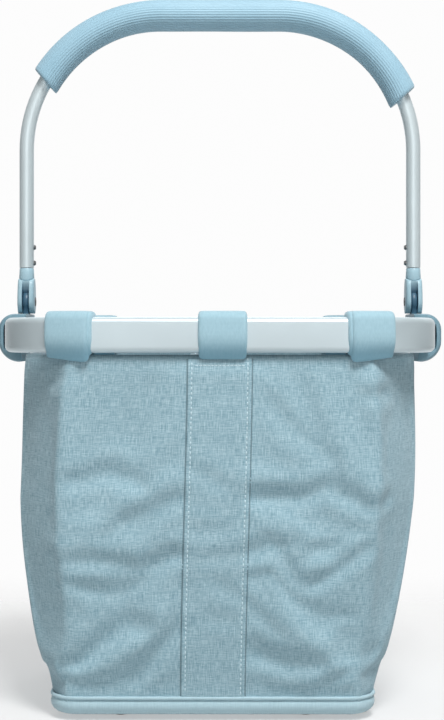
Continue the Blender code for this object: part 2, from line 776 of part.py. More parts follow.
def make_adapter(frame):
    y = ADAPTER_Y
    adapter = plate("adapter_plate", [adapter_outline()], ADAPTER_THICK, frame)
    adapter.location = Vector((0, y + ADAPTER_THICK / 2, -ADAPTER_BELOW_RIM)) * MM
    adapter.rotation_euler = (pi / 2, 0, 0)
    round_edges(adapter, 1.0, 2, 50)
    outline = rounded_rectangle(BOSS_WIDTH / 2, BOSS_TALL / 2, BOSS_CORNER, 4)
    boss = plate("boss", [outline], BOSS_THICK + OVERCUT, frame, cutters)
    boss.location = Vector((0, y + ADAPTER_THICK + (BOSS_THICK - OVERCUT) / 2, -ADAPTER_BELOW_RIM)) * MM
    boss.rotation_euler = (pi / 2, 0, 0)
    combine(adapter, boss, "UNION")
    groove_y = y + ADAPTER_THICK + BOSS_THICK - GROOVE_LIP - GROOVE_WIDE / 2
    for side in SIDES.values():
        groove = box(
            "hook_groove", (2 * GROOVE_DEEP, GROOVE_WIDE, BOSS_TALL + 2 * OVERCUT),
            (side * BOSS_WIDTH / 2, groove_y, -ADAPTER_BELOW_RIM), frame, cutters,
        )
        combine(adapter, groove, "DIFFERENCE")
    drill_adapter_holes(adapter, frame)
    paint(adapter, "black_plastic")


def make_backing(frame):
    y = MOUTH_HALF_DEPTH - CLOTH - GAP - BACKING_THICK / 2
    backing = plate("backing_plate", [adapter_outline()], BACKING_THICK, frame)
    backing.location = Vector((0, y, -ADAPTER_BELOW_RIM)) * MM
    backing.rotation_euler = (pi / 2, 0, 0)
    drill_adapter_holes(backing, frame)
    paint(backing, "black_plastic")


def adapter_screw_places():
    """(name, x, z) of the four screws."""
    places = []
    for row, up in (("upper", 1), ("lower", -1)):
        for name, side in SIDES.items():
            z = up * ADAPTER_SCREW_Z - ADAPTER_BELOW_RIM
            places.append((row + "_" + name, side * ADAPTER_SCREW_X, z))
    return places


def drill_adapter_holes(target, frame):
    start = MOUTH_HALF_DEPTH - 2 * BACKING_THICK - OVERCUT
    end = BACK_REACH + OVERCUT
    for _, x, z in adapter_screw_places():
        bore = SCREW_RADIUS + GAP
        hole = cylinder("adapter_hole", bore, start, end, "Y", (x, 0, z), frame, cutters, 16)
        combine(target, hole, "DIFFERENCE")


def make_adapter_fasteners(frame):
    outer = ADAPTER_Y + ADAPTER_THICK + GAP
    inner = MOUTH_HALF_DEPTH - CLOTH - 2 * GAP - BACKING_THICK
    for name, x, z in adapter_screw_places():
        centre = (x, 0, z)
        tip, top = inner - NUT_TALL - 2 * GAP, outer + SCREW_HEAD_TALL
        middle = outer + SCREW_HEAD_TALL / 2
        screw = cylinder("adapter_screw_" + name, SCREW_RADIUS, tip, middle, "Y", centre, frame, sides=16)
        head = cylinder("screw_head", SCREW_HEAD, outer, top, "Y", centre, frame, cutters, 20)
        combine(screw, head, "UNION")
        paint(screw, "steel")
        foot = inner - NUT_TALL
        nut = cylinder("adapter_nut_" + name, NUT_RADIUS, foot, inner, "Y", centre, frame, sides=6)
        bore = SCREW_RADIUS + PIN_CLEARANCE
        start, end = foot - OVERCUT, inner + OVERCUT
        thread = cylinder("nut_bore", bore, start, end, "Y", centre, frame, cutters, 16)
        combine(nut, thread, "DIFFERENCE")
        paint(nut, "steel", 0)


# ---- assembly ----------------------------------------------------------------------------------


def make_basket(frame):
    make_rim(frame)
    make_joiner(frame)
    for name, side in SIDES.items():
        make_hinge_block(name, side, frame)
        for end, face in FACES.items():
            make_block_screw(name + "_" + end, side, face, frame)
            make_corner_loop("rim_loop_" + end + "_" + name, side, face, frame)
            make_foot(end + "_" + name, side, face, frame)
    for end, face in FACES.items():
        make_straight_loop("rim_loop_" + end + "_centre", face, frame)
        make_centre_band(end + "_band", face, frame)
    make_panel("bag_front_panel", front_columns, 0, frame)
    back = make_panel("bag_back_panel", front_columns, pi, frame)
    drill_adapter_holes(back, frame)
    make_panel("bag_right_panel", side_columns, 0, frame)
    make_panel("bag_left_panel", side_columns, pi, frame)
    make_base(frame)
    make_base_trim(frame)
    make_adapter(frame)
    make_backing(frame)
    make_adapter_fasteners(frame)


def make_handle(pivot):
    make_handle_tube(pivot)
    make_grip(pivot)
    for name, side in SIDES.items():
        make_fork(name, side, pivot)
        make_pivot_pin(name, side, pivot)
        for level, height in RIVET_HEIGHTS.items():
            make_rivet(name + "_" + level, side, height, pivot)


clear_scene()
parts = make_collection("handlebar_basket")
cutters = make_collection("cutters")
materials = {name: make_material(name) for name in COLOURS}
rim_centre = make_empty("rim_centre", (0, RIM_Y, RIM_HEIGHT))
hinge_axis = make_empty("hinge_axis", (0, 0, PIVOT_HEIGHT), rim_centre)
make_basket(rim_centre)
make_handle(hinge_axis)
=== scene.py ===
"""The looks of a soft handlebar basket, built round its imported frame.

Everything is in metres in the frame's own axes: X to the right, Y to the back, Z up, floor at Z = 0.
Lengths written in millimetres pass through MM. Heights on the bag are "drops" below the rim's middle.
"""

from math import atan2, cos, hypot, pi, radians, sin, sqrt

import bmesh
import bpy
import numpy as np
from mathutils import Matrix, Vector, noise
from mathutils.bvhtree import BVHTree


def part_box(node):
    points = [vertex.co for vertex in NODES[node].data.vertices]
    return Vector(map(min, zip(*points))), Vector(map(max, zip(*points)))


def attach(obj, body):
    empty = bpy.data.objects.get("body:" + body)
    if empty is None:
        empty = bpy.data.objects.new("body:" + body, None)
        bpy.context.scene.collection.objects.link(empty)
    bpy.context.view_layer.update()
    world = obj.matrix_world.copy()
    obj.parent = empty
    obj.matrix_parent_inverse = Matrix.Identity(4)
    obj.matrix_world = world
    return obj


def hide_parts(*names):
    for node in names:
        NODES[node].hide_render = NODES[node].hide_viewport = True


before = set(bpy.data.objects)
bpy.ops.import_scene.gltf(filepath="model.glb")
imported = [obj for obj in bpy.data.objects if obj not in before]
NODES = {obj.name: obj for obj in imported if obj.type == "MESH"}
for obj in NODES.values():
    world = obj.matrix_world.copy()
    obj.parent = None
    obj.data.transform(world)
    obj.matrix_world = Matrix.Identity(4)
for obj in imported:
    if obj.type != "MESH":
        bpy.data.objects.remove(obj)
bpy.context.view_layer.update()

MM = 0.001
SIDES = {"left": -1, "right": 1}
FACES = {"front": -1, "back": 1}


def low(node):
    return Vector(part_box(node)[0])


def high(node):
    return Vector(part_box(node)[1])


def middle(node):
    return (low(node) + high(node)) / 2


RIM = middle("rim_tube")
HINGE = Vector((0, middle("pivot_pin_left").y, middle("pivot_pin_left").z))

# Rim
RIM_HALF_WIDTH = high("rim_tube").x
RIM_HALF_DEPTH = high("rim_tube").y - RIM.y
RIM_HALF_TALL = high("rim_tube").z - RIM.z
RIM_THICK = 12 * MM
RIM_CORNER = 72 * MM
RIM_EDGE = 5 * MM

# Bag
CLOTH = 2 * MM
MOUTH_HALF_WIDTH = high("bag_right_panel").x - 1.2 * MM
MOUTH_HALF_DEPTH = RIM.y - low("bag_front_panel").y
BASE_HALF_WIDTH = high("base_band").x - 3.4 * MM
BASE_HALF_DEPTH = RIM.y - low("base_band").y - 3.4 * MM
MOUTH_DROP = 14.3 * MM
TAPER_DROP = 125 * MM
PIPING_DROP = RIM.z - middle("base_piping").z
BASE_DROP = RIM.z - low("base_panel").z
TAPER_POWER = 2.2
MOUTH_DRAWN_IN = 4 * MM  # the cloth is pulled in under the rim
LEAN = -5.5 * MM  # the empty bag hangs a little to the left at its base

# Handle
TUBE_RADIUS = (high("handle_tube").y - low("handle_tube").y) / 2
HANDLE_X = high("handle_tube").x - TUBE_RADIUS
BEND_RADIUS = 112 * MM
BEND_Z = high("handle_tube").z - TUBE_RADIUS - BEND_RADIUS
GRIP_RADIUS = 13 * MM
GRIP_FROM = 30.6
GRIP_TO = 22.9

BAND_HALF_WIDTH = 24 * MM
BAND_START = 0.31  # where the band's own weave starts, so that it doesn't line up with the bag's
# width of the painted shade along each of the band's edges
BAND_EDGE_SHADE = 1.5 * MM
WEB_HALF_WIDTH = 19 * MM
CORNER_WEB_HALF_WIDTH = 17.8 * MM
WEB_THICK = 2.2 * MM


# ---- camera, light and floor --------------------------------------------------------------------------------

CAMERA_DISTANCE = 1100 * MM  # from the front of the rim
LENS = 73.8
SHIFT_X = 0.0028
SHIFT_Y = -0.0347


def make_camera():
    data = bpy.data.cameras.new("camera")
    data.lens = LENS
    data.sensor_width = 36
    data.shift_x = SHIFT_X
    data.shift_y = SHIFT_Y
    data.clip_end = 50
    camera = bpy.data.objects.new("camera", data)
    camera.location = (0, RIM.y - RIM_HALF_DEPTH - CAMERA_DISTANCE, RIM.z)
    camera.rotation_euler = (pi / 2, 0, 0)
    bpy.context.scene.collection.objects.link(camera)
    bpy.context.scene.camera = camera


def make_area_light(name, place, aim, size, power, colour=(1, 1, 1)):
    data = bpy.data.lights.new(name, "AREA")
    data.shape = "RECTANGLE"
    data.size, data.size_y = size
    data.energy = power
    data.color = colour
    light = bpy.data.objects.new(name, data)
    light.location = place
    light.rotation_euler = (Vector(aim) - Vector(place)).to_track_quat("-Z", "Y").to_euler()
    light.visible_camera = False
    bpy.context.scene.collection.objects.link(light)


ROOM = 0.40  # brightness of the room round the object
SIDE_WALLS = 0.4  # how much of that is left at the room's sides
BACKDROP = 0.98  # brightness of the white backdrop behind it


def make_room():
    """An even grey studio whose far wall, behind the object, is white."""
    world = bpy.data.worlds.new("studio")
    world.use_nodes = True
    tree = world.node_tree
    sky = tree.nodes["Background"]
    place = tree.nodes.new("ShaderNodeTexCoord")
    parts = tree.nodes.new("ShaderNodeSeparateXYZ")
    tree.links.new(place.outputs["Generated"], parts.inputs["Vector"])
    wall = tree.nodes.new("ShaderNodeMapRange")
    wall.interpolation_type = "SMOOTHSTEP"
    wall.inputs["From Min"].default_value = 0.5
    wall.inputs["From Max"].default_value = 0.9
    wall.inputs["To Min"].default_value = ROOM
    wall.inputs["To Max"].default_value = BACKDROP
    tree.links.new(parts.outputs["Y"], wall.inputs["Value"])
    aside = tree.nodes.new("ShaderNodeMath")
    aside.operation = "ABSOLUTE"
    tree.links.new(parts.outputs["X"], aside.inputs[0])
    side_wall = tree.nodes.new("ShaderNodeMapRange")
    side_wall.interpolation_type = "SMOOTHSTEP"
    side_wall.inputs["From Min"].default_value = 0.3
    side_wall.inputs["From Max"].default_value = 0.85
    side_wall.inputs["To Min"].default_value = 1.0
    side_wall.inputs["To Max"].default_value = SIDE_WALLS
    tree.links.new(aside.outputs[0], side_wall.inputs["Value"])
    strength = tree.nodes.new("ShaderNodeMath")
    strength.operation = "MULTIPLY"
    tree.links.new(wall.outputs["Result"], strength.inputs[0])
    tree.links.new(side_wall.outputs["Result"], strength.inputs[1])
    tree.links.new(strength.outputs[0], sky.inputs["Strength"])
    sky.inputs["Color"].default_value = (1, 1, 1, 1)
    bpy.context.scene.world = world


def make_studio():
    make_room()
    make_area_light("key", (0.35, -1.15, 2.15), (0, -0.1, 0.25), (0.7, 0.7), 42)
    make_area_light("front", (0.0, -2.0, 0.55), (0, 0, 0.3), (1.1, 0.8), 2.1)
    make_area_light("rear", (0.0, 1.7, 1.6), (0, 0, 0.3), (1.4, 1.0), 7)
    bpy.context.scene.view_settings.view_transform = "Standard"


FLOOR_RADIUS = 4.0
FLOOR_SOLID = 0.6  # the floor is a thin pale film, so that shadows on it stay light
FLOOR_FADE = (0.15, 0.60)  # how far behind the object the floor fades into the white backdrop


def make_floor():
    shape = bmesh.new()
    bmesh.ops.create_circle(shape, cap_ends=True, segments=96, radius=FLOOR_RADIUS)
    mesh = bpy.data.meshes.new("floor")
    shape.to_mesh(mesh)
    shape.free()
    floor = bpy.data.objects.new("floor", mesh)
    floor.location.z = -0.05 * MM
    bpy.context.scene.collection.objects.link(floor)
    make = Nodes("pale_floor", 0.9)
    make.shader.inputs["Base Color"].default_value = (0.86, 0.86, 0.86, 1)
    axes = make.node("ShaderNodeSeparateXYZ")
    make.link(make.place("Object"), axes.inputs["Vector"])
    fade = make.node("ShaderNodeMapRange", interpolation_type="SMOOTHSTEP")
    make.link(axes.outputs["Y"], fade.inputs["Value"])
    fade.inputs["From Min"].default_value = FLOOR_FADE[1]
    fade.inputs["From Max"].default_value = FLOOR_FADE[0]
    fade.inputs["To Max"].default_value = FLOOR_SOLID
    make.link(fade.outputs["Result"], make.shader.inputs["Alpha"])
    mesh.materials.append(make.material)


# ---- materials ----------------------------------------------------------------------------------------------


class Nodes:
    """A short way to write a procedural material."""

    def __init__(self, name, roughness, metallic=0.0):
        self.material = bpy.data.materials.new(name)
        self.material.use_nodes = True
        self.tree = self.material.node_tree
        self.shader = self.tree.nodes["Principled BSDF"]
        self.shader.inputs["Roughness"].default_value = roughness
        self.shader.inputs["Metallic"].default_value = metallic

    def node(self, kind, **values):
        made = self.tree.nodes.new(kind)
        for name, value in values.items():
            setattr(made, name, value)
        return made

    def link(self, source, target):
        self.tree.links.new(source, target)

    def feed(self, socket, value):
        if hasattr(value, "is_linked"):
            self.link(value, socket)
        else:
            socket.default_value = value

    def place(self, kind="UV"):
        return self.node("ShaderNodeTexCoord").outputs[kind]

    def scaled(self, vector, scale, turn=0.0):
        mapping = self.node("ShaderNodeMapping")
        mapping.inputs["Scale"].default_value = scale
        mapping.inputs["Rotation"].default_value = (0, 0, turn)
        self.link(vector, mapping.inputs["Vector"])
        return mapping.outputs["Vector"]

    def noise(self, vector, scale=1.0, detail=2.0, roughness=0.5):
        made = self.node("ShaderNodeTexNoise")
        self.link(vector, made.inputs["Vector"])
        made.inputs["Scale"].default_value = scale
        made.inputs["Detail"].default_value = detail
        made.inputs["Roughness"].default_value = roughness
        return made.outputs["Fac"]

    def wave(self, vector, scale, direction="X", distortion=0.0):
        made = self.node("ShaderNodeTexWave", wave_type="BANDS", bands_direction=direction)
        self.link(vector, made.inputs["Vector"])
        made.inputs["Scale"].default_value = scale
        made.inputs["Distortion"].default_value = distortion
        made.inputs["Detail"].default_value = 0.0
        return made.outputs["Fac"]

    def math(self, operation, first, second=0.0):
        made = self.node("ShaderNodeMath", operation=operation)
        self.feed(made.inputs[0], first)
        self.feed(made.inputs[1], second)
        return made.outputs[0]

    def ramp(self, factor, *stops):
        made = self.node("ShaderNodeValToRGB")
        elements = made.color_ramp.elements
        while len(elements) < len(stops):
            elements.new(0.5)
        for element, (place, colour) in zip(elements, stops):
            element.position = place
            element.color = (*colour, 1.0)
        self.link(factor, made.inputs["Fac"])
        return made.outputs["Color"]

    def mix(self, factor, first, second, blend="MIX"):
        made = self.node("ShaderNodeMix", data_type="RGBA", blend_type=blend)
        self.feed(made.inputs[0], factor)
        for socket, value in ((made.inputs[6], first), (made.inputs[7], second)):
            self.feed(socket, value if hasattr(value, "is_linked") else (*value, 1.0))
        return made.outputs[2]

    def spread(self, factor, lowest, highest):
        made = self.node("ShaderNodeMapRange")
        self.link(factor, made.inputs["Value"])
        made.inputs["To Min"].default_value = lowest
        made.inputs["To Max"].default_value = highest
        return made.outputs["Result"]

    def bump(self, height, distance, strength=1.0, under=None):
        made = self.node("ShaderNodeBump")
        made.inputs["Distance"].default_value = distance
        made.inputs["Strength"].default_value = strength
        self.link(height, made.inputs["Height"])
        if under:
            self.link(under, made.inputs["Normal"])
        return made.outputs["Normal"]

    def finish(self, colour=None, normal=None, roughness=None):
        if colour:
            self.link(colour, self.shader.inputs["Base Color"])
        if normal:
            self.link(normal, self.shader.inputs["Normal"])
        if roughness:
            self.link(roughness, self.shader.inputs["Roughness"])
        return self.material


def cloth_material(name, dark, middle_tone, light, contrast=1.0, band_width=0.0):
    """Two-tone woven polyester: long slubs in the weft and warp over a fine plain weave. UVs are in metres.

    Painted shadow darkens the cloth where it is pulled in under the rim, and painted shade darkens a band's two turned
    edges too.
    """
    make = Nodes(name, 0.85)
    make.shader.inputs["Sheen Weight"].default_value = 0.2
    make.shader.inputs["Sheen Roughness"].default_value = 0.5
    make.shader.inputs["Specular IOR Level"].default_value = 0.25
    uv = make.place()
    weft = make.noise(make.scaled(uv, (190, 2500, 1)), 1.0, 2.0, 0.6)
    warp = make.noise(make.scaled(uv, (1900, 110, 1)), 1.0, 2.0, 0.6)
    slubs = make.noise(make.scaled(uv, (45, 1050, 1)), 1.0, 2.0, 0.55)
    threads = make.math("ADD", make.math("MULTIPLY", weft, 0.37), make.math("MULTIPLY", warp, 0.45))
    threads = make.math("ADD", threads, make.math("MULTIPLY", slubs, 0.18))
    reach = 0.13 / contrast
    colour = make.ramp(threads, (0.5 - reach, dark), (0.5, middle_tone), (0.5 + reach, light))
    # painted shadow: the cloth is darkened in its top few millimetres, just under the rim
    axes = make.node("ShaderNodeSeparateXYZ")
    make.link(make.place("Object"), axes.inputs["Vector"])
    painted_rim_shadow = make.node("ShaderNodeMapRange", interpolation_type="SMOOTHSTEP")
    make.link(axes.outputs["Z"], painted_rim_shadow.inputs["Value"])
    painted_rim_shadow.inputs["From Min"].default_value = RIM.z - MOUTH_DROP - 5 * MM
    painted_rim_shadow.inputs["From Max"].default_value = RIM.z - MOUTH_DROP
    painted_rim_shadow.inputs["To Max"].default_value = 0.75
    shade = painted_rim_shadow.outputs["Result"]
    # painted shade: a strip along each of the band's turned edges is darkened, where shade falls in the groove
    if band_width:
        run = make.node("ShaderNodeSeparateXYZ")
        make.link(uv, run.inputs["Vector"])
        from_middle = make.math("ABSOLUTE", make.math("SUBTRACT", run.outputs["X"], BAND_START + band_width / 2))
        edge = make.math("GREATER_THAN", from_middle, band_width / 2 - BAND_EDGE_SHADE)
        shade = make.math("MAXIMUM", shade, make.math("MULTIPLY", edge, 0.55))
    # the painted shadow and shade are mixed in as a darker copy of the cloth
    colour = make.mix(shade, colour, tuple(0.3 * value for value in dark))
    across = make.wave(make.scaled(uv, (1, 1, 1)), 370.0, "X")
    along = make.wave(make.scaled(uv, (1, 1, 1)), 370.0, "Y")
    weave = make.math("MULTIPLY", across, along)
    fine = make.bump(weave, 0.12 * MM, 0.5)
    normal = make.bump(threads, 0.3 * MM, 0.5, fine)
    return make.finish(colour, normal, make.spread(threads, 0.95, 0.72))


def webbing_material():
    """Soft woven webbing: close ribs across the strap and a faint unevenness, with painted shade darkening the loops
    towards their lower ends.
    """
    make = Nodes("blue_webbing_weave", 0.8)
    make.shader.inputs["Sheen Weight"].default_value = 0.35
    make.shader.inputs["Sheen Roughness"].default_value = 0.45
    make.shader.inputs["Specular IOR Level"].default_value = 0.3
    uv = make.place()
    ribs = make.wave(uv, 330.0, "Y", 0.4)
    yarns = make.wave(uv, 330.0, "X", 0.4)
    cloud = make.noise(make.scaled(uv, (260, 700, 1)), 1.0, 2.0, 0.55)
    colour = make.ramp(cloud, (0.3, (0.365, 0.575, 0.665)), (0.7, (0.415, 0.625, 0.715)))
    # painted shade: the loops grow darker below the rim's middle, where they turn in under it
    axes = make.node("ShaderNodeSeparateXYZ")
    make.link(make.place("Object"), axes.inputs["Vector"])
    painted_low_shade = make.node("ShaderNodeMapRange", interpolation_type="SMOOTHSTEP")
    make.link(axes.outputs["Z"], painted_low_shade.inputs["Value"])
    painted_low_shade.inputs["From Min"].default_value = RIM.z
    painted_low_shade.inputs["From Max"].default_value = RIM.z - 17 * MM
    painted_low_shade.inputs["To Max"].default_value = 0.55
    colour = make.mix(painted_low_shade.outputs["Result"], colour, (0.085, 0.285, 0.410))
    weave = make.bump(make.math("MULTIPLY", ribs, yarns), 0.12 * MM, 0.5)
    return make.finish(colour, make.bump(cloud, 0.1 * MM, 0.3, weave))


def trim_material():
    """The base band and piping: the same cloth, cut on the bias and a little paler."""
    return cloth_material(
        "base_trim_weave", (0.410, 0.595, 0.670), (0.480, 0.668, 0.740), (0.550, 0.740, 0.805), 0.8
    )


def foam_material():
    """Closed-cell foam: matt, with tiny pores and faint clouding."""
    make = Nodes("ribbed_foam", 0.6)
    make.shader.inputs["Specular IOR Level"].default_value = 0.6
    make.shader.inputs["Sheen Weight"].default_value = 0.5
    place = make.place("Object")
    pores = make.noise(make.scaled(place, (2200, 2200, 2200)), 1.0, 1.0, 0.5)
    cloud = make.noise(make.scaled(place, (28, 28, 28)), 1.0, 3.0, 0.55)
    colour = make.ramp(cloud, (0.3, (0.312, 0.530, 0.655)), (0.7, (0.347, 0.567, 0.692)))
    return make.finish(colour, make.bump(pores, 0.02 * MM, 0.2), make.spread(cloud, 0.60, 0.50))


def aluminium_material(name, tint, along, metallic=1.0):
    """Satin anodised tube: fine lines along it, faint clouding and a soft gleam."""
    make = Nodes(name, 0.36, metallic)
    place = make.place("Object")
    lines = make.noise(make.scaled(place, along), 1.0, 2.0, 0.5)
    cloud = make.noise(make.scaled(place, (18, 18, 18)), 1.0, 2.0, 0.5)
    darker = tuple(0.94 * value for value in tint)
    colour = make.ramp(cloud, (0.35, darker), (0.65, tint))
    return make.finish(colour, make.bump(lines, 0.02 * MM, 0.25), make.spread(lines, 0.30, 0.40))


def plastic_material(name, colour, roughness, grain=0.05, specular=0.5):
    """Moulded plastic with a fine spark-eroded grain and rubbed patches."""
    make = Nodes(name, roughness)
    make.shader.inputs["Specular IOR Level"].default_value = specular
    place = make.place("Object")
    grains = make.noise(make.scaled(place, (1700, 1700, 1700)), 1.0, 2.0, 0.5)
    cloud = make.noise(make.scaled(place, (60, 60, 60)), 1.0, 3.0, 0.55)
    darker = tuple(0.86 * value for value in colour)
    lighter = tuple(min(1.0, 1.08 * value) for value in colour)
    tones = make.ramp(cloud, (0.3, darker), (0.7, lighter))
    rough = make.spread(cloud, roughness - 0.08, roughness + 0.1)
    return make.finish(tones, make.bump(grains, grain * MM, 0.5), rough)


def steel_material(name, tint, roughness):
    """Zinc-plated or blackened steel, turned, with faint staining."""
    make = Nodes(name, roughness, 1.0)
    place = make.place("Object")
    stain = make.noise(make.scaled(place, (300, 300, 300)), 1.0, 3.0, 0.6)
    turned = make.noise(make.scaled(place, (250, 2600, 2600)), 1.0, 1.0, 0.5)
    darker = tuple(0.72 * value for value in tint)
    colour = make.ramp(stain, (0.35, darker), (0.65, tint))
    rough = make.spread(stain, roughness - 0.08, roughness + 0.12)
    return make.finish(colour, make.bump(turned, 0.03 * MM, 0.4), rough)


def thread_material():
    """Pale twisted sewing thread."""
    make = Nodes("sewing_thread", 0.7)
    make.shader.inputs["Sheen Weight"].default_value = 0.2
    place = make.place("Object")
    twist = make.noise(make.scaled(place, (2500, 2500, 2500)), 1.0, 1.0, 0.5)
    colour = make.ramp(twist, (0.3, (0.50, 0.68, 0.75)), (0.7, (0.68, 0.84, 0.89)))
    return make.finish(colour, make.bump(twist, 0.06 * MM, 0.5))


# ---- mesh helpers -------------------------------------------------------------------------------------------


def link_piece(name, mesh, material, body):
    piece = bpy.data.objects.new(name, mesh)
    bpy.context.scene.collection.objects.link(piece)
    mesh.materials.clear()
    mesh.materials.append(material)
    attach(piece, body)
    return piece


def smooth(mesh, angle=40):
    mesh.shade_smooth()
    mesh.set_sharp_from_angle(angle=radians(angle))


def grid_mesh(name, rows, closed=False, widths=None, heights=None, caps=(), angle=40):
    """A mesh from rows of points. closed joins each row's ends; caps holds "first" and "last" rows to fill."""
    rows = np.asarray(rows, float)
    count, across = rows.shape[:2]
    steps = across if closed else across - 1
    widths = widths if widths is not None else [i / steps for i in range(steps + 1)]
    heights = heights if heights is not None else [i / (count - 1) for i in range(count)]
    shape = bmesh.new()
    layer = shape.loops.layers.uv.new("metres")
    verts = [[shape.verts.new(point) for point in row] for row in rows]
    for r in range(count - 1):
        for c in range(steps):
            after = (c + 1) % across
            face = shape.faces.new((verts[r][c], verts[r + 1][c], verts[r + 1][after], verts[r][after]))
            corners = ((c, r), (c, r + 1), (c + 1, r + 1), (c + 1, r))
            for loop, (u, v) in zip(face.loops, corners):
                loop[layer].uv = (widths[u], heights[v])
    for end in caps:
        ring = verts[0] if end == "first" else verts[-1][::-1]
        face = shape.faces.new(ring)
        for loop in face.loops:
            loop[layer].uv = (loop.vert.co.x, loop.vert.co.y)
    if closed and len(caps) == 2:
        bmesh.ops.recalc_face_normals(shape, faces=shape.faces)
    mesh = bpy.data.meshes.new(name)
    shape.to_mesh(mesh)
    shape.free()
    smooth(mesh, angle)
    return mesh


def run_lengths(points, closed):
    """Distances along a line of points, for UVs in metres."""
    points = [Vector(point) for point in points]
    if closed:
        points.append(points[0])
    lengths = [0.0]
    for first, second in zip(points, points[1:]):
        lengths.append(lengths[-1] + (second - first).length)
    return lengths


def arc(centre, radius, start, end, steps):
    """Points on a plane arc, angles in degrees."""
    points = []
    for step in range(steps + 1):
        angle = radians(start + (end - start) * step / steps)
        points.append((centre[0] + radius * cos(angle), centre[1] + radius * sin(angle)))
    return points


def rounded_rectangle(half_width, half_depth, corner, steps):
    outline = []
    for turn, (x, y) in enumerate(((1, 1), (-1, 1), (-1, -1), (1, -1))):
        centre = (x * (half_width - corner), y * (half_depth - corner))
        outline += arc(centre, corner, 90 * turn, 90 * turn + 90, steps)
    return outline


def smooth_step(value):
    value = min(1.0, max(0.0, value))
    return value * value * (3 - 2 * value)


def sweep_rows(path, frames, profile):
    """Rows of points: the 2-D profile carried to each path point in its (side, up) frame."""
    rows = []
    for point, (side, up) in zip(path, frames):
        rows.append([tuple(point + side * a + up * b) for a, b in profile])
    return rows


# ---- rim ----------------------------------------------------------------------------------------------------


def make_rim(material):
    """The rim tube as one smooth ring, finer than its CAD solid."""
    centre_line = rounded_rectangle(
        RIM_HALF_WIDTH - RIM_THICK / 2, RIM_HALF_DEPTH - RIM_THICK / 2, RIM_CORNER - RIM_THICK / 2, 40
    )
    profile = rounded_rectangle(RIM_THICK / 2, RIM_HALF_TALL, RIM_EDGE, 8)
    path = [Vector((x, y, 0)) + RIM for x, y in centre_line]
    rows = []
    for i, point in enumerate(path):
        along = (path[(i + 1) % len(path)] - path[i - 1]).normalized()
        side = along.cross(Vector((0, 0, 1)))
        rows.append([tuple(point + side * a + Vector((0, 0, b))) for a, b in profile])
    rows.append(rows[0])
    mesh = grid_mesh("rim", rows, closed=True, angle=60)
    shape = bmesh.new()
    shape.from_mesh(mesh)
    bmesh.ops.remove_doubles(shape, verts=shape.verts, dist=0.001 * MM)
    bmesh.ops.recalc_face_normals(shape, faces=shape.faces)
    shape.to_mesh(mesh)
    shape.free()
    rim = link_piece("rim", mesh, material, "basket")
    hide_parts("rim_tube")
    return rim


# ---- handle -------------------------------------------------------------------------------------------------


def bow_point(side, angle):
    turn = radians(angle)
    x = HANDLE_X - BEND_RADIUS * (1 - cos(turn))
    return Vector((side * x, HINGE.y, BEND_Z + BEND_RADIUS * sin(turn)))


def bow_path(left_angle, right_angle, steps):
    left = [bow_point(-1, left_angle + (90 - left_angle) * i / steps) for i in range(steps + 1)]
    right = [bow_point(1, right_angle + (90 - right_angle) * i / steps) for i in range(steps + 1)]
    return left + right[::-1]


def with_middle_points(path, spacing):
    """The same path with no gap between its points longer than spacing."""
    full = [path[0]]
    for first, second in zip(path, path[1:]):
        pieces = max(1, int((second - first).length / spacing))
        full += [first.lerp(second, (i + 1) / pieces) for i in range(pieces)]
    return full


def bow_frames(path):
    """(outward, depth) directions round the bow; outward points away from the middle of the opening."""
    frames = []
    for i in range(len(path)):
        along = (path[min(i + 1, len(path) - 1)] - path[max(i - 1, 0)]).normalized()
        depth = Vector((0, 1, 0))
        frames.append((depth.cross(along) * -1, depth))
    return frames


def make_tube(material):
    foot = low("handle_tube").z
    ends = [Vector((side * HANDLE_X, HINGE.y, foot)) for side in (-1, 1)]
    path = with_middle_points([ends[0]] + bow_path(0, 0, 30) + [ends[1]], 20 * MM)
    ring = [(TUBE_RADIUS * cos(2 * pi * i / 40), TUBE_RADIUS * sin(2 * pi * i / 40)) for i in range(40)]
    rows = sweep_rows(path, bow_frames(path), ring)
    lip = sweep_rows([path[0], path[-1]], [bow_frames(path)[0], bow_frames(path)[-1]],
                     [(0.93 * a, 0.93 * b) for a, b in ring])
    mesh = grid_mesh("tube", [lip[0]] + rows + [lip[1]], closed=True, caps=("first", "last"), angle=50)
    tube = link_piece("handle_bow", mesh, material, "handle")
    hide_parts("handle_tube")
    return tube


GRIP_RIBS = 38
RIB_DEPTH = 0.42 * MM
GRIP_SLANT = 0.315  # how far the foam's end leans, per unit across it
GRIP_SLANT_RUN = 26 * MM


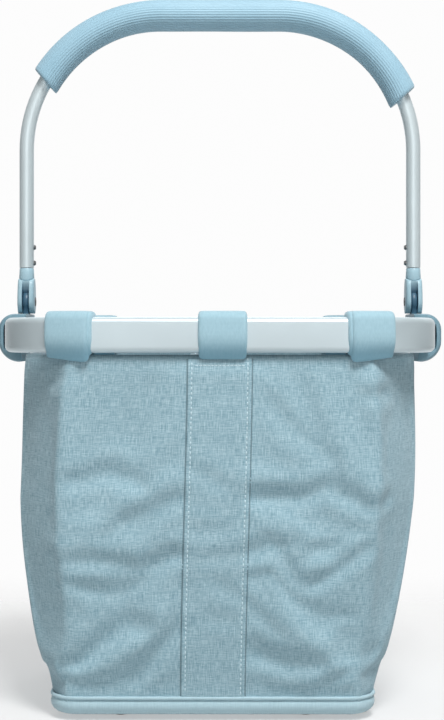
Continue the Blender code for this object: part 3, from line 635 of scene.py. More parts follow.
def make_grip(material):
    """A ribbed foam sleeve whose ends lean, because the foam stretches round the bend."""
    path = with_middle_points(bow_path(GRIP_FROM, GRIP_TO, 46), 3 * MM)
    frames = bow_frames(path)
    lengths = run_lengths(path, closed=False)
    total = lengths[-1]
    samples = GRIP_RIBS * 4
    rows = []

    def ring(i, radius, ribbed, push):
        outward, depth = frames[i]
        along = outward.cross(depth)
        if along.dot(path[min(i + 1, len(path) - 1)] - path[max(i - 1, 0)]) < 0:
            along = -along
        from_start = max(0.0, 1 - lengths[i] / GRIP_SLANT_RUN) ** 2
        from_end = max(0.0, 1 - (total - lengths[i]) / GRIP_SLANT_RUN) ** 2
        points = []
        for k in range(samples):
            angle = 2 * pi * k / samples
            wave = 0.5 - 0.5 * cos(GRIP_RIBS * angle)
            r = radius - (RIB_DEPTH * wave if ribbed else RIB_DEPTH * 0.5)
            across = r * cos(angle)
            slide = GRIP_SLANT * across * (from_start - from_end) + push
            points.append(tuple(path[i] + outward * across + depth * (r * sin(angle)) + along * slide))
        return points

    last = len(path) - 1
    rows.append(ring(0, TUBE_RADIUS + 0.35 * MM, False, 1.5 * MM))
    rows.append(ring(0, TUBE_RADIUS + 0.9 * MM, False, 0.1 * MM))
    rows.append(ring(0, GRIP_RADIUS - 1.5 * MM, False, 0.0))
    rows.append(ring(0, GRIP_RADIUS - 0.5 * MM, True, 0.35 * MM))
    for i in range(1, last):
        swell = 0.35 * MM * noise.noise(Vector((lengths[i] * 18, 3.1, 0)))
        rows.append(ring(i, GRIP_RADIUS + swell, True, 0.0))
    rows.append(ring(last, GRIP_RADIUS - 0.5 * MM, True, -0.35 * MM))
    rows.append(ring(last, GRIP_RADIUS - 1.5 * MM, False, 0.0))
    rows.append(ring(last, TUBE_RADIUS + 0.9 * MM, False, -0.1 * MM))
    rows.append(ring(last, TUBE_RADIUS + 0.35 * MM, False, -1.5 * MM))
    mesh = grid_mesh("grip", rows, closed=True, caps=("first", "last"), angle=70)
    grip = link_piece("foam_sleeve", mesh, material, "handle")
    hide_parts("handle_grip")
    return grip


# ---- forks --------------------------------------------------------------------------------------------------

FORK_RADIUS = HINGE.z - low("fork_left").z
FORK_HALF_WIDTH = 7.2 * MM
FORK_SLOT = 4.9 * MM
COLLAR_FOOT = 19.7 * MM  # above the hinge axis, at the fork's sides
COLLAR_DIP = 2.0 * MM  # how much lower the collar reaches in the front and back
COLLAR_TOP = 28.0 * MM
SLOT_TOP = 17.9 * MM
EAR_RADIUS = 8.9 * MM
SEAM = 0.35 * MM


def superellipse(half_width, half_depth, power, samples):
    points = []
    for i in range(samples):
        angle = 2 * pi * i / samples
        c, s = cos(angle), sin(angle)
        x = half_width * abs(c) ** (2 / power) * (1 if c > 0 else -1)
        y = half_depth * abs(s) ** (2 / power) * (1 if s > 0 else -1)
        points.append((x, y))
    return points


def fork_body(height):
    """(half width, half depth) of the two prongs together, at a height from the hinge axis."""
    share = height / COLLAR_FOOT
    if height < 0:
        depth = sqrt(max(FORK_RADIUS**2 - height**2, (1.5 * MM) ** 2))
        return FORK_HALF_WIDTH - 0.9 * MM * share**2, depth
    return FORK_HALF_WIDTH - 0.5 * MM * share**2, FORK_RADIUS - 3.0 * MM * share**1.6


def fork_rows(side):
    """Rows up a fork: rounded foot, prongs, a fine seam that dips at the front, and the collar."""
    sizes = []
    for height in (-9.93, -9.6, -9.0, -8.0, -6.5, -4.5, -2, 0, 3, 6, 9, 12, 15):
        sizes.append((height * MM, *fork_body(height * MM), 5.0, 0.0))
    sizes.append((COLLAR_FOOT - 0.5 * MM, *fork_body(COLLAR_FOOT), 4.0, COLLAR_DIP))
    neck = 6.1 * MM
    sizes.append((COLLAR_FOOT - 0.2 * MM, neck - SEAM, neck - SEAM, 2.2, COLLAR_DIP))
    sizes.append((COLLAR_FOOT, neck - SEAM, neck - SEAM, 2.2, COLLAR_DIP))
    sizes.append((COLLAR_FOOT + 0.2 * MM, neck + 0.2 * MM, neck + 0.4 * MM, 2.2, COLLAR_DIP))
    sizes.append((COLLAR_FOOT + 3.0 * MM, neck, neck + 0.2 * MM, 2.0, COLLAR_DIP / 3))
    sizes.append((COLLAR_TOP - 0.5 * MM, TUBE_RADIUS - 0.1 * MM, TUBE_RADIUS - 0.1 * MM, 2.0, 0.0))
    sizes.append((COLLAR_TOP, TUBE_RADIUS - 0.5 * MM, TUBE_RADIUS - 0.5 * MM, 2.0, 0.0))
    rows = []
    for height, half_width, half_depth, power, dip in sizes:
        row = []
        for x, y in superellipse(half_width, half_depth, power, 64):
            down = dip * (y / half_depth) ** 2
            row.append((side * HANDLE_X + x, HINGE.y + y, HINGE.z + height - down))
        rows.append(row)
    return rows


def make_fork(name, side, material):
    mesh = grid_mesh("fork", fork_rows(side), closed=True, caps=("first", "last"), angle=50)
    fork = link_piece("hinge_fork_" + name, mesh, material, "handle")
    cut_fork_slot(fork, side)
    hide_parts("fork_" + name)
    return fork


def slot_outline():
    """The slot seen from the side, as (y, z): right through for the ear, and shallower and shallower above."""
    half = [(20 * MM, -14 * MM), (20 * MM, SLOT_TOP), (7.2 * MM, SLOT_TOP), (6.0 * MM, 14 * MM)]
    half += [(5.2 * MM, 10 * MM)] + arc((0, 0), EAR_RADIUS + 0.35 * MM, 57, 88, 4)
    return half + [(-y, z) for y, z in half[::-1]]


def cut_fork_slot(fork, side):
    rows = []
    for way in (-1, 1):
        row = []
        for y, z in slot_outline():
            half = FORK_SLOT / 2 + 0.5 * MM * smooth_step((z - 8 * MM) / (SLOT_TOP - 8 * MM))
            row.append((side * HANDLE_X + way * half, HINGE.y + y, HINGE.z + z))
        rows.append(row)
    mesh = grid_mesh("slot", rows, closed=True, caps=("first", "last"))
    cutter = bpy.data.objects.new("slot_cutter", mesh)
    bpy.context.scene.collection.objects.link(cutter)
    change = fork.modifiers.new("slot", "BOOLEAN")
    change.operation = "DIFFERENCE"
    change.solver = "EXACT"
    change.object = cutter
    bevel = fork.modifiers.new("edges", "BEVEL")
    bevel.width = 0.35 * MM
    bevel.segments = 2
    bevel.limit_method = "ANGLE"
    bevel.angle_limit = radians(55)
    keep_evaluated(fork)
    bpy.data.objects.remove(cutter, do_unlink=True)
    smooth(fork.data, 45)


def in_slot(make, place, top, run):
    """The mask for the painted shade in a fork's slot: 0 outside it, and inside it growing to 1 over a run downwards
    from top.
    """
    axes = make.node("ShaderNodeSeparateXYZ")
    make.link(place, axes.inputs["Vector"])
    aside = make.math("ABSOLUTE", make.math("SUBTRACT", make.math("ABSOLUTE", axes.outputs["X"]), HANDLE_X))
    inside = make.math("LESS_THAN", aside, FORK_SLOT / 2 + 0.55 * MM)
    fade = make.node("ShaderNodeMapRange")
    make.link(axes.outputs["Z"], fade.inputs["Value"])
    fade.inputs["From Min"].default_value = top
    fade.inputs["From Max"].default_value = top - run
    return make.math("MULTIPLY", inside, fade.outputs["Result"])


def fork_material():
    """Pale moulded plastic, with painted shade darker and darker down inside the slot."""
    make = Nodes("fork_plastic", 0.36)
    make.shader.inputs["Specular IOR Level"].default_value = 0.5
    place = make.place("Object")
    # painted shade: the inside of the slot is darkened deeper down, where shade falls
    depth = in_slot(make, place, HINGE.z + SLOT_TOP, 9 * MM)
    grains = make.noise(make.scaled(place, (1700, 1700, 1700)), 1.0, 2.0, 0.5)
    cloud = make.noise(make.scaled(place, (60, 60, 60)), 1.0, 3.0, 0.55)
    tones = make.ramp(cloud, (0.3, (0.395, 0.590, 0.675)), (0.7, (0.440, 0.640, 0.725)))
    colour = make.mix(depth, tones, (0.045, 0.120, 0.190))
    return make.finish(colour, make.bump(grains, 0.05 * MM, 0.5), make.spread(cloud, 0.3, 0.45))


def keep_evaluated(piece):
    """Applies a piece's modifiers to its mesh."""
    bpy.context.view_layer.update()
    graph = bpy.context.evaluated_depsgraph_get()
    mesh = bpy.data.meshes.new_from_object(piece.evaluated_get(graph))
    piece.modifiers.clear()
    piece.data = mesh


# ---- hinge blocks -------------------------------------------------------------------------------------------

BLOCK_TOP = 17.4 * MM
BLOCK_BOTTOM = RIM.z - low("hinge_block_right").z
BLOCK_OUTER = high("hinge_block_right").x - 0.5 * MM
BLOCK_HALF_LENGTH = high("hinge_block_right").y - HINGE.y
BLOCK_TURN_IN = 3.0 * MM  # how much the outer side curves in towards the block's ends
BLOCK_CURVE = 8 * MM
EAR_HALF_THICK = 2.15 * MM
EAR_NECK = 6.7 * MM


def block_outline(turn_in):
    """The C round the rim's outer side, as (x, z), with its outer side moved in by turn_in."""
    outer = BLOCK_OUTER - turn_in
    top, bottom = BLOCK_TOP - 0.3 * turn_in, BLOCK_BOTTOM - 0.4 * turn_in
    top_round, bottom_round = 13 * MM, 17 * MM
    gap = 0.3 * MM
    inner = RIM_HALF_WIDTH - RIM_THICK
    face, half = RIM_HALF_WIDTH + gap, RIM_HALF_TALL + gap
    tail = BLOCK_OUTER - BLOCK_TURN_IN - bottom_round
    outline = [(inner, top)] + arc((outer - top_round, top - top_round), top_round, 90, 0, 12)
    outline += arc((outer - bottom_round, bottom_round - bottom), bottom_round, 0, -90, 14)
    outline += [(tail, -bottom + 0.6 * MM), (tail + 1.0 * MM, -half)]
    outline += arc((face - RIM_EDGE, RIM_EDGE - half), RIM_EDGE, -80, 0, 6)
    outline += arc((face - RIM_EDGE, half - RIM_EDGE), RIM_EDGE, 0, 90, 6)
    return outline + [(inner, half)]


def block_mesh(side):
    reach = BLOCK_HALF_LENGTH
    rows = []
    steps = 8
    for end in (-1, 1):
        for i in range(steps + 1):
            share = 1 - i / steps if end < 0 else i / steps
            y = end * (reach - BLOCK_CURVE * (1 - share))
            rows.append((y, BLOCK_TURN_IN * (1 - sqrt(1 - share**2 * 0.98))))
    placed = []
    for y, turn_in in rows:
        placed.append([(side * x, HINGE.y + y, RIM.z + z) for x, z in block_outline(turn_in)])
    return grid_mesh("hinge_block", placed, closed=True, caps=("first", "last"), angle=35)


def ear_mesh(side):
    """The hinge ear: a round plate on a narrower neck."""
    rows = []
    outline = arc((0, 0), EAR_RADIUS, -41, 221, 24)
    outline += [(-EAR_NECK, BLOCK_TOP - HINGE.z + RIM.z - 1 * MM), (EAR_NECK, BLOCK_TOP - HINGE.z + RIM.z - 1 * MM)]
    for x, size in ((-1, 0.95), (-0.8, 1.0), (0.8, 1.0), (1, 0.95)):
        place_x = side * HANDLE_X + x * EAR_HALF_THICK
        rows.append([(place_x, HINGE.y + size * y, HINGE.z + size * z) for y, z in outline])
    return grid_mesh("ear", rows, closed=True, caps=("first", "last"), angle=35)


def lens_mesh(side, end):
    """A cutter for the pointed slot in a block's end."""
    x_middle, tall, half_width = RIM_HALF_WIDTH + 5.6 * MM, 10.5 * MM, 1.0 * MM
    z_middle = RIM.z - 1.5 * MM
    outline = []
    for i in range(24):
        angle = 2 * pi * i / 24
        bulge = abs(cos(angle)) ** 1.4 * (1 if cos(angle) > 0 else -1)
        outline.append((x_middle + half_width * bulge, z_middle + tall * sin(angle)))
    rows = []
    for y in (BLOCK_HALF_LENGTH - 12 * MM, BLOCK_HALF_LENGTH + 5 * MM):
        rows.append([(side * x, HINGE.y + end * y, z) for x, z in outline])
    return grid_mesh("lens", rows, closed=True, caps=("first", "last"))


def make_hinge_block(name, side, material):
    block = link_piece("hinge_shell_" + name, block_mesh(side), material, "basket")
    cutters = []
    for end in (-1, 1):
        cutter = bpy.data.objects.new("lens_cutter", lens_mesh(side, end))
        bpy.context.scene.collection.objects.link(cutter)
        cutters.append(cutter)
        change = block.modifiers.new("slot", "BOOLEAN")
        change.operation = "DIFFERENCE"
        change.solver = "EXACT"
        change.object = cutter
    bevel = block.modifiers.new("edges", "BEVEL")
    bevel.width = 0.5 * MM
    bevel.segments = 2
    bevel.limit_method = "ANGLE"
    bevel.angle_limit = radians(40)
    keep_evaluated(block)
    for cutter in cutters:
        bpy.data.objects.remove(cutter, do_unlink=True)
    block.data = joined("hinge_block", block.data, ear_mesh(side))
    block.data.materials.append(material)
    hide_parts("hinge_block_" + name)
    return block


def hinge_material():
    """Moulded plastic, with painted shade on the ear that stands in the fork's slot."""
    make = Nodes("hinge_block_plastic", 0.4)
    make.shader.inputs["Specular IOR Level"].default_value = 0.5
    place = make.place("Object")
    axes = make.node("ShaderNodeSeparateXYZ")
    make.link(place, axes.inputs["Vector"])
    # painted shade: everything above the block's top, the ear in the fork's slot, is darkened
    ear = make.math("GREATER_THAN", axes.outputs["Z"], RIM.z + BLOCK_TOP + 0.3 * MM)
    grains = make.noise(make.scaled(place, (1700, 1700, 1700)), 1.0, 2.0, 0.5)
    cloud = make.noise(make.scaled(place, (60, 60, 60)), 1.0, 3.0, 0.55)
    tones = make.ramp(cloud, (0.3, (0.190, 0.330, 0.400)), (0.7, (0.225, 0.375, 0.450)))
    colour = make.mix(ear, tones, (0.050, 0.130, 0.200))
    return make.finish(colour, make.bump(grains, 0.05 * MM, 0.5), make.spread(cloud, 0.33, 0.48))


# ---- bag ----------------------------------------------------------------------------------------------------

FLAT_STEPS = 22
CORNER_STEPS = 12
SIDE_STEPS = 10
BAG_ROWS = 50
PLATE_HALF_WIDTH = high("adapter_plate").x
PLATE_BOTTOM = low("adapter_plate").z
PLATE_TOP = high("adapter_plate").z
PLATE_FADE = 14 * MM


def taper(drop):
    share = min(1.0, max(0.0, (drop - TAPER_DROP) / (PIPING_DROP - TAPER_DROP)))
    return 0.5 * share + 0.5 * share**TAPER_POWER


def bag_section(drop):
    """(half width, half depth, where the front stops being flat, depth of the corner) at a drop."""
    share = taper(drop)
    down = min(1.0, drop / PIPING_DROP)
    drawn_in = MOUTH_DRAWN_IN * (1 - smooth_step((drop - MOUTH_DROP) / (16 * MM)))
    width = MOUTH_HALF_WIDTH + (BASE_HALF_WIDTH - MOUTH_HALF_WIDTH) * share - 0.25 * drawn_in
    depth = MOUTH_HALF_DEPTH + (BASE_HALF_DEPTH - MOUTH_HALF_DEPTH) * share - drawn_in
    crease = (113 + 9 * sin(pi * min(1.0, down * 1.15) ** 0.8) ** 2 - 1.5 * down) * MM
    return width, depth, crease, (64 + (20 - 64) * down) * MM


def lean(drop):
    return LEAN * smooth_step(drop / BASE_DROP)


def front_quarter(drop):
    """The outline from the middle of the front, round the right corner, to the middle of the right side."""
    width, depth, crease, reach = bag_section(drop)
    line = [(crease * i / FLAT_STEPS, -depth) for i in range(FLAT_STEPS)]
    start = (crease, -depth)
    bend = (width - 0.35 * (width - crease), 0.52 * reach - depth)
    end = (width, reach - depth)
    for i in range(CORNER_STEPS + 1):
        t = i / CORNER_STEPS
        shares = ((1 - t) ** 2, 2 * t * (1 - t), t**2)
        line.append(tuple(sum(share * point[axis] for share, point in zip(shares, (start, bend, end))) for axis in (0, 1)))
    line += [(width, end[1] * (1 - i / SIDE_STEPS)) for i in range(1, SIDE_STEPS)]
    return line


def bag_outline(drop):
    """The whole outline from the middle of the back, by the left side, front and right side."""
    quarter = front_quarter(drop)
    width = bag_section(drop)[0]
    outline = [(-x, -y) for x, y in quarter]
    outline += [(-width, 0)] + [(-x, y) for x, y in quarter[:0:-1]]
    outline += quarter
    outline += [(width, 0)] + [(x, -y) for x, y in quarter[:0:-1]]
    return [(x + lean(drop), y) for x, y in outline]


def bag_drops():
    return [MOUTH_DROP + (PIPING_DROP + 6 * MM - MOUTH_DROP) * i / (BAG_ROWS - 1) for i in range(BAG_ROWS)]


# Soft folds of the front: across is from -1 at the left crease to 1 at the right one, down is from 0 at the
# mouth to 1 at the base. Each is a line of points with its depth in millimetres and its half width.
FRONT_FOLDS = (
    (((-0.92, 0.36), (-0.67, 0.335), (-0.45, 0.375)), 2.6, 8),
    (((-0.60, 0.475), (-0.43, 0.445), (-0.24, 0.415)), 2.2, 8),
    (((-1.03, 0.590), (-0.77, 0.580), (-0.50, 0.588), (-0.24, 0.575)), 3.0, 7),
    (((-1.05, 0.635), (-0.77, 0.665)), 1.6, 6),
    (((-0.92, 0.895), (-0.75, 0.815), (-0.60, 0.775), (-0.45, 0.790)), 3.0, 9),
    (((-0.55, 0.945), (-0.40, 0.870), (-0.24, 0.790)), 1.8, 9),
    (((-1.12, 0.075), (-0.93, 0.060)), 2.2, 6),
    (((0.22, 0.410), (0.48, 0.395), (0.70, 0.385), (0.92, 0.420)), 3.6, 8),
    (((0.20, 0.580), (0.35, 0.548), (0.54, 0.535), (0.75, 0.560)), 2.6, 8),
    (((0.64, 0.650), (0.80, 0.615), (0.97, 0.548)), 3.0, 6),
    (((0.20, 0.645), (0.37, 0.630)), 1.8, 6),
    (((0.29, 0.865), (0.48, 0.872), (0.72, 0.895)), 2.8, 11),
    (((0.72, 0.965), (0.86, 0.930)), 2.0, 5),
    (((0.94, 0.120), (1.08, 0.112)), 2.2, 6),
    (((0.96, 0.435), (1.07, 0.415)), 2.0, 6),
    (((-0.16, 0.330), (0.06, 0.385)), 0.9, 6),
    (((-0.15, 0.510), (0.10, 0.505)), 0.9, 5),
    (((-0.10, 0.592), (0.08, 0.580)), 0.9, 5),
    (((0.00, 0.655), (0.17, 0.700)), 1.0, 5),
    (((-0.03, 0.765), (0.12, 0.772)), 0.8, 6),
)


FOLD_STRENGTH = 1.5


def fold_push(x, drop, line, depth, half_width):
    """How far a fold moves the cloth outward: a crease with a fuller bulge above it and a low one below."""
    best = None
    for (x0, d0), (x1, d1) in zip(line, line[1:]):
        run_x, run_d = x1 - x0, d1 - d0
        along = ((x - x0) * run_x + (drop - d0) * run_d) / (run_x**2 + run_d**2)
        held = min(1.0, max(0.0, along))
        off_x, off_d = x - x0 - held * run_x, drop - d0 - held * run_d
        distance = hypot(off_x, off_d)
        normal_x, normal_d = -run_d, run_x
        below = (off_x * normal_x + off_d * normal_d) * (1 if normal_d > 0 else -1)
        if best is None or distance < best[0]:
            overrun = max(0.0, abs(along - held)) * hypot(run_x, run_d)
            best = (distance, 1 if below > 0 else -1, overrun)
    distance, way, overrun = best
    t = way * distance / half_width
    fade = 1 / (1 + (overrun / half_width) ** 2)
    crease = np.exp(-(t**2) * 1.6)
    above = np.exp(-((t + 1.7) ** 2) / 1.3)
    below = np.exp(-((t - 1.5) ** 2) / 0.9)
    return FOLD_STRENGTH * depth * fade * (0.75 * above + 0.45 * below - 0.8 * crease)


def front_push(x, drop):
    """The folds' total push at a place on the front, in metres."""
    crease = bag_section(drop)[2]
    if abs(x) > crease * 1.35:
        return 0.0
    across = (x - lean(drop)) / crease
    push = 0.0
    scale_x, scale_d = crease, PIPING_DROP - MOUTH_DROP
    down = (drop - MOUTH_DROP) / scale_d
    for line, depth, half_width in FRONT_FOLDS:
        if min(p[1] for p in line) - 0.2 > down or max(p[1] for p in line) + 0.2 < down:
            continue
        placed = [(px * scale_x, pd * scale_d) for px, pd in line]
        push += fold_push(across * scale_x, down * scale_d, placed, depth * MM, half_width * MM)
    return push


def loose_push(x, y, drop):
    """Gentle unevenness everywhere, and broad folds on the sides and back."""
    place = Vector((x * 9, y * 9, drop * 16))
    small = noise.noise(place) * 1.0 * MM
    broad = (noise.noise(Vector((x * 5 + 7.3, y * 5 - 2.1, drop * 9))) - 0.25) * 2.4 * MM
    facing_front = smooth_step((-y / MOUTH_HALF_DEPTH - 0.75) / 0.2)
    return small + broad * (1 - 0.75 * facing_front)


def behind_plate(x, y, drop):
    """1 where the adapter and its backing plate clamp the back of the bag flat."""
    z = RIM.z - drop
    across = 1 - smooth_step((abs(x) - PLATE_HALF_WIDTH) / PLATE_FADE)
    down = 1 - smooth_step((PLATE_BOTTOM - z) / PLATE_FADE)
    up = 1 - smooth_step((z - PLATE_TOP) / PLATE_FADE)
    return across * down * up if y > 0.5 * MOUTH_HALF_DEPTH else 0.0


def bag_points():
    """Rows of points of the sewn bag, with the pushes of its folds faded out at the mouth and base."""
    rows = []
    for drop in bag_drops():
        outline = bag_outline(drop)
        row = []
        count = len(outline)
        ends = smooth_step((drop - MOUTH_DROP) / (22 * MM)) * smooth_step((PIPING_DROP - drop) / (14 * MM))
        for i, (x, y) in enumerate(outline):
            before, after = Vector(outline[i - 1]), Vector(outline[(i + 1) % count])
            tangent = (after - before).normalized()
            normal = Vector((tangent.y, -tangent.x))
            push = loose_push(x, y, drop)
            if y < -0.6 * MOUTH_HALF_DEPTH:
                push += front_push(x, drop)
            push *= ends * (1 - behind_plate(x, y, drop))
            row.append((x + normal.x * push, RIM.y + y + normal.y * push, RIM.z - drop))
        rows.append(row)
    return rows


SIM_FRAMES = 18
MOST_DRAPE = 5 * MM


def drape(mesh, group_weights):
    """Lets the cloth settle with a little slack, and returns where its points end up."""
    cloth = bpy.data.objects.new("drape", mesh.copy())
    bpy.context.scene.collection.objects.link(cloth)
    group = cloth.vertex_groups.new(name="held")
    for index, weight in enumerate(group_weights):
        group.add([index], weight, "REPLACE")
    modifier = cloth.modifiers.new("cloth", "CLOTH")
    settings = modifier.settings
    settings.quality = 5
    settings.mass = 0.25
    settings.tension_stiffness = 12
    settings.compression_stiffness = 12
    settings.shear_stiffness = 6
    settings.bending_stiffness = 1.2
    settings.air_damping = 2
    settings.vertex_group_mass = "held"
    settings.pin_stiffness = 1
    settings.shrink_min = -0.010
    settings.effector_weights.gravity = 0.35
    settings.use_pressure = True
    settings.uniform_pressure_force = 0.06
    modifier.collision_settings.use_collision = False
    modifier.point_cache.frame_start = 1
    modifier.point_cache.frame_end = SIM_FRAMES
    for step in range(1, SIM_FRAMES + 1):
        bpy.context.scene.frame_set(step)
    graph = bpy.context.evaluated_depsgraph_get()
    settled = cloth.evaluated_get(graph).data
    points = np.zeros(len(settled.vertices) * 3)
    settled.vertices.foreach_get("co", points)
    bpy.context.scene.frame_set(1)
    bpy.data.objects.remove(cloth, do_unlink=True)
    return points.reshape(-1, 3)


def held_weight(x, y, drop):
    """1 where the bag is sewn or stiff: its mouth, its base, behind the plate and under the centre bands."""
    edge = 1 - smooth_step((drop - MOUTH_DROP) / (16 * MM)) * smooth_step((PIPING_DROP - drop) / (10 * MM))
    band = 1 - smooth_step((abs(x) - BAND_HALF_WIDTH) / (12 * MM))
    return max(edge, 0.85 * band, behind_plate(x, y, drop))


def make_bag(material):
    rows = bag_points()
    drops = bag_drops()
    outline = [(x, y, 0) for x, y in bag_outline(TAPER_DROP)]
    mesh = grid_mesh(
        "bag", rows, closed=True, widths=run_lengths(outline, True), heights=[-drop for drop in drops], angle=180
    )
    before = np.zeros(len(mesh.vertices) * 3)
    mesh.vertices.foreach_get("co", before)
    before = before.reshape(-1, 3)
    weights = [held_weight(x - lean(RIM.z - z), y - RIM.y, RIM.z - z) for x, y, z in before]
    settled = drape(mesh, weights)
    move = settled - before
    reach = np.linalg.norm(move, axis=1, keepdims=True)
    move *= np.minimum(1.0, MOST_DRAPE / np.maximum(reach, 1e-9))
    move[:, 0] *= 0.35
    move *= 1 - np.array(weights)[:, None] ** 4
    mesh.vertices.foreach_set("co", (before + move).ravel())
    mesh.update()
    bag = link_piece("bag_cloth", mesh, material, "basket")
    solid = bag.modifiers.new("lining", "SOLIDIFY")
    solid.thickness = CLOTH
    solid.offset = -1
    solid.use_even_offset = False
    finer = bag.modifiers.new("finer", "SUBSURF")
    finer.levels = 1
    finer.render_levels = 1
    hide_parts("bag_front_panel", "bag_back_panel", "bag_left_panel", "bag_right_panel")
    return bag


def surface_of(piece):
    """A search tree of a piece's evaluated surface."""
    bpy.context.view_layer.update()
    graph = bpy.context.evaluated_depsgraph_get()
    return BVHTree.FromObject(piece.evaluated_get(graph), graph)


def on_face(tree, face, x, drop):
    """(point, outward normal) of the bag's front or back at a place, found from outside it."""
    start = Vector((x, RIM.y + face * 2 * MOUTH_HALF_DEPTH, RIM.z - drop))
    hit, normal, _, _ = tree.ray_cast(start, Vector((0, -face, 0)))
    if hit is None:
        depth = bag_section(drop)[1]
        return Vector((x, RIM.y + face * depth, RIM.z - drop)), Vector((0, face, 0))
    return hit, normal if normal.y * face > 0 else -normal


# ---- centre bands, stitching --------------------------------------------------------------------------------

BAND_PROFILE = (  # across from -1 to 1, height above the cloth in millimetres
    (-1.040, 0.10), (-1.000, 0.10), (-1.000, 0.5), (-0.985, 1.0), (-0.955, 1.25), (-0.91, 1.15), (-0.875, 0.75),
    (-0.84, 1.0), (-0.76, 1.2), (-0.5, 1.15), (-0.2, 1.1), (0.0, 1.1),
)


def band_profile():
    right = [(-across, height) for across, height in BAND_PROFILE[:-1]][::-1]
    return list(BAND_PROFILE) + right


def band_run():
    """The length across the band's face, from one edge to the other."""
    points = [(across * BAND_HALF_WIDTH, height * MM, 0) for across, height in band_profile()]
    return run_lengths(points, False)[-1]


def make_band(name, face, tree, material):
    """A strip of the same cloth sewn down the bag, with turned edges and a dimpled stitch line."""
    top, bottom = MOUTH_DROP + 0.4 * MM, PIPING_DROP - 1.0 * MM
    drops = [top + (bottom - top) * i / 80 for i in range(81)]
    rows = []
    profile = band_profile()
    for drop in drops:
        row = []
        for across, height in profile:
            x = across * BAND_HALF_WIDTH + lean(drop)
            point, normal = on_face(tree, face, x, drop)
            row.append(tuple(point + Vector((0, face, 0)) * height * MM))
        rows.append(row[:: face * -1])
    points = [(across * BAND_HALF_WIDTH, height * MM, 0) for across, height in profile]
    widths = [width + BAND_START for width in run_lengths(points, False)]
    mesh = grid_mesh(name, rows, widths=widths, heights=[-d for d in drops], angle=60)
    band = link_piece(name + "_cloth", mesh, material, "basket")
    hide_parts(name)
    return band


def add_stitch(shape, start, end, normal, radius):
    """One visible stitch: a short thread that dips into the cloth at both ends."""
    along = end - start
    length = along.length
    along.normalize()
    side = along.cross(normal).normalized()
    up = side.cross(along)
    rings = []
    for share, size, sink in ((-0.08, 0.45, 1.2), (0.08, 0.9, 0.35), (0.5, 1.0, 0), (0.92, 0.9, 0.35), (1.08, 0.45, 1.2)):
        centre = start + along * (length * share) - up * (radius * sink)
        ring = []
        for k in range(6):
            angle = 2 * pi * k / 6
            offset = side * cos(angle) * radius * size + up * sin(angle) * radius * size * 0.8
            ring.append(shape.verts.new(centre + offset))
        rings.append(ring)
    for first, second in zip(rings, rings[1:]):
        for k in range(6):
            shape.faces.new((first[k], first[(k + 1) % 6], second[(k + 1) % 6], second[k]))
    shape.faces.new(rings[0][::-1])
    shape.faces.new(rings[-1])


def stitch_piece(name, runs, material, body="basket"):
    """One piece holding runs of stitches; each run is (points with normals, pitch, stitch length, radius)."""
    shape = bmesh.new()
    for points, pitch, length, radius in runs:
        lengths = run_lengths([point for point, _ in points], False)
        place = pitch * 0.5
        while place + length < lengths[-1]:
            start, normal = at_length(points, lengths, place)
            end, _ = at_length(points, lengths, place + length)
            add_stitch(shape, start + normal * radius * 0.3, end + normal * radius * 0.3, normal, radius)
            place += pitch
    bmesh.ops.recalc_face_normals(shape, faces=shape.faces)
    mesh = bpy.data.meshes.new(name)
    shape.to_mesh(mesh)
    shape.free()
    smooth(mesh, 60)
    return link_piece(name, mesh, material, body)


def at_length(points, lengths, place):
    index = int(np.searchsorted(lengths, place, side="right")) - 1
    index = min(max(index, 0), len(points) - 2)
    span = max(lengths[index + 1] - lengths[index], 1e-9)
    share = (place - lengths[index]) / span
    first, second = points[index], points[index + 1]
    return first[0].lerp(second[0], share), first[1].lerp(second[1], share).normalized()


def surface_run(tree, face, places):
    """Points with normals on a sewn surface under (x, drop) places."""
    return [on_face(tree, face, x, drop) for x, drop in places]


def make_band_stitches(name, face, band, material):
    tree = surface_of(band)
    runs = []
    drops = [MOUTH_DROP + 1 * MM + (PIPING_DROP - MOUTH_DROP - 3 * MM) * i / 60 for i in range(61)]
    for side in (-1, 1):
        places = [(side * 0.875 * BAND_HALF_WIDTH + lean(drop), drop) for drop in drops]
        runs.append((surface_run(tree, face, places), 3.7 * MM, 2.4 * MM, 0.52 * MM))
    across = [(-0.84 * BAND_HALF_WIDTH + 1.68 * BAND_HALF_WIDTH * i / 12, 22.8 * MM) for i in range(13)]
    runs.append((surface_run(tree, face, across), 2.9 * MM, 2.4 * MM, 0.42 * MM))
    return stitch_piece(name + "_stitching", runs, material)


# ---- webbing loops ------------------------------------------------------------------------------------------


def strap_path(outer, inner, drop_end, bag_out):
    """The middle line of a loop over the rim, as (distance outward, height): up inside, over, and down in a bulge."""
    top = high("rim_loop_front_centre").z - RIM.z - WEB_THICK / 2
    bend = 6.5 * MM
    under = RIM_HALF_TALL
    line = [(bag_out - CLOTH - WEB_THICK * 1.2, -drop_end), (inner + 0.8 * MM, -under - 0.5 * MM)]
    line += [(inner, -under + 4 * MM), (inner, 0.0)]
    line += arc((inner + bend, top - bend), bend, 180, 90, 6)
    line += arc((outer - bend, top - bend), bend, 90, 12, 6)
    line += [(outer + 0.5 * MM, 5 * MM), (outer + 0.9 * MM, 1 * MM), (outer + 0.8 * MM, -3 * MM)]
    line += [(outer + 0.2 * MM, -7 * MM), (outer - 1.0 * MM, -10.5 * MM), (outer - 2.7 * MM, -13.5 * MM)]
    low_x = bag_out + WEB_THICK / 2
    line += [((outer - 2.7 * MM + low_x) / 2 - 0.2 * MM, (-13.5 * MM - drop_end) / 2), (low_x, -drop_end)]
    return line


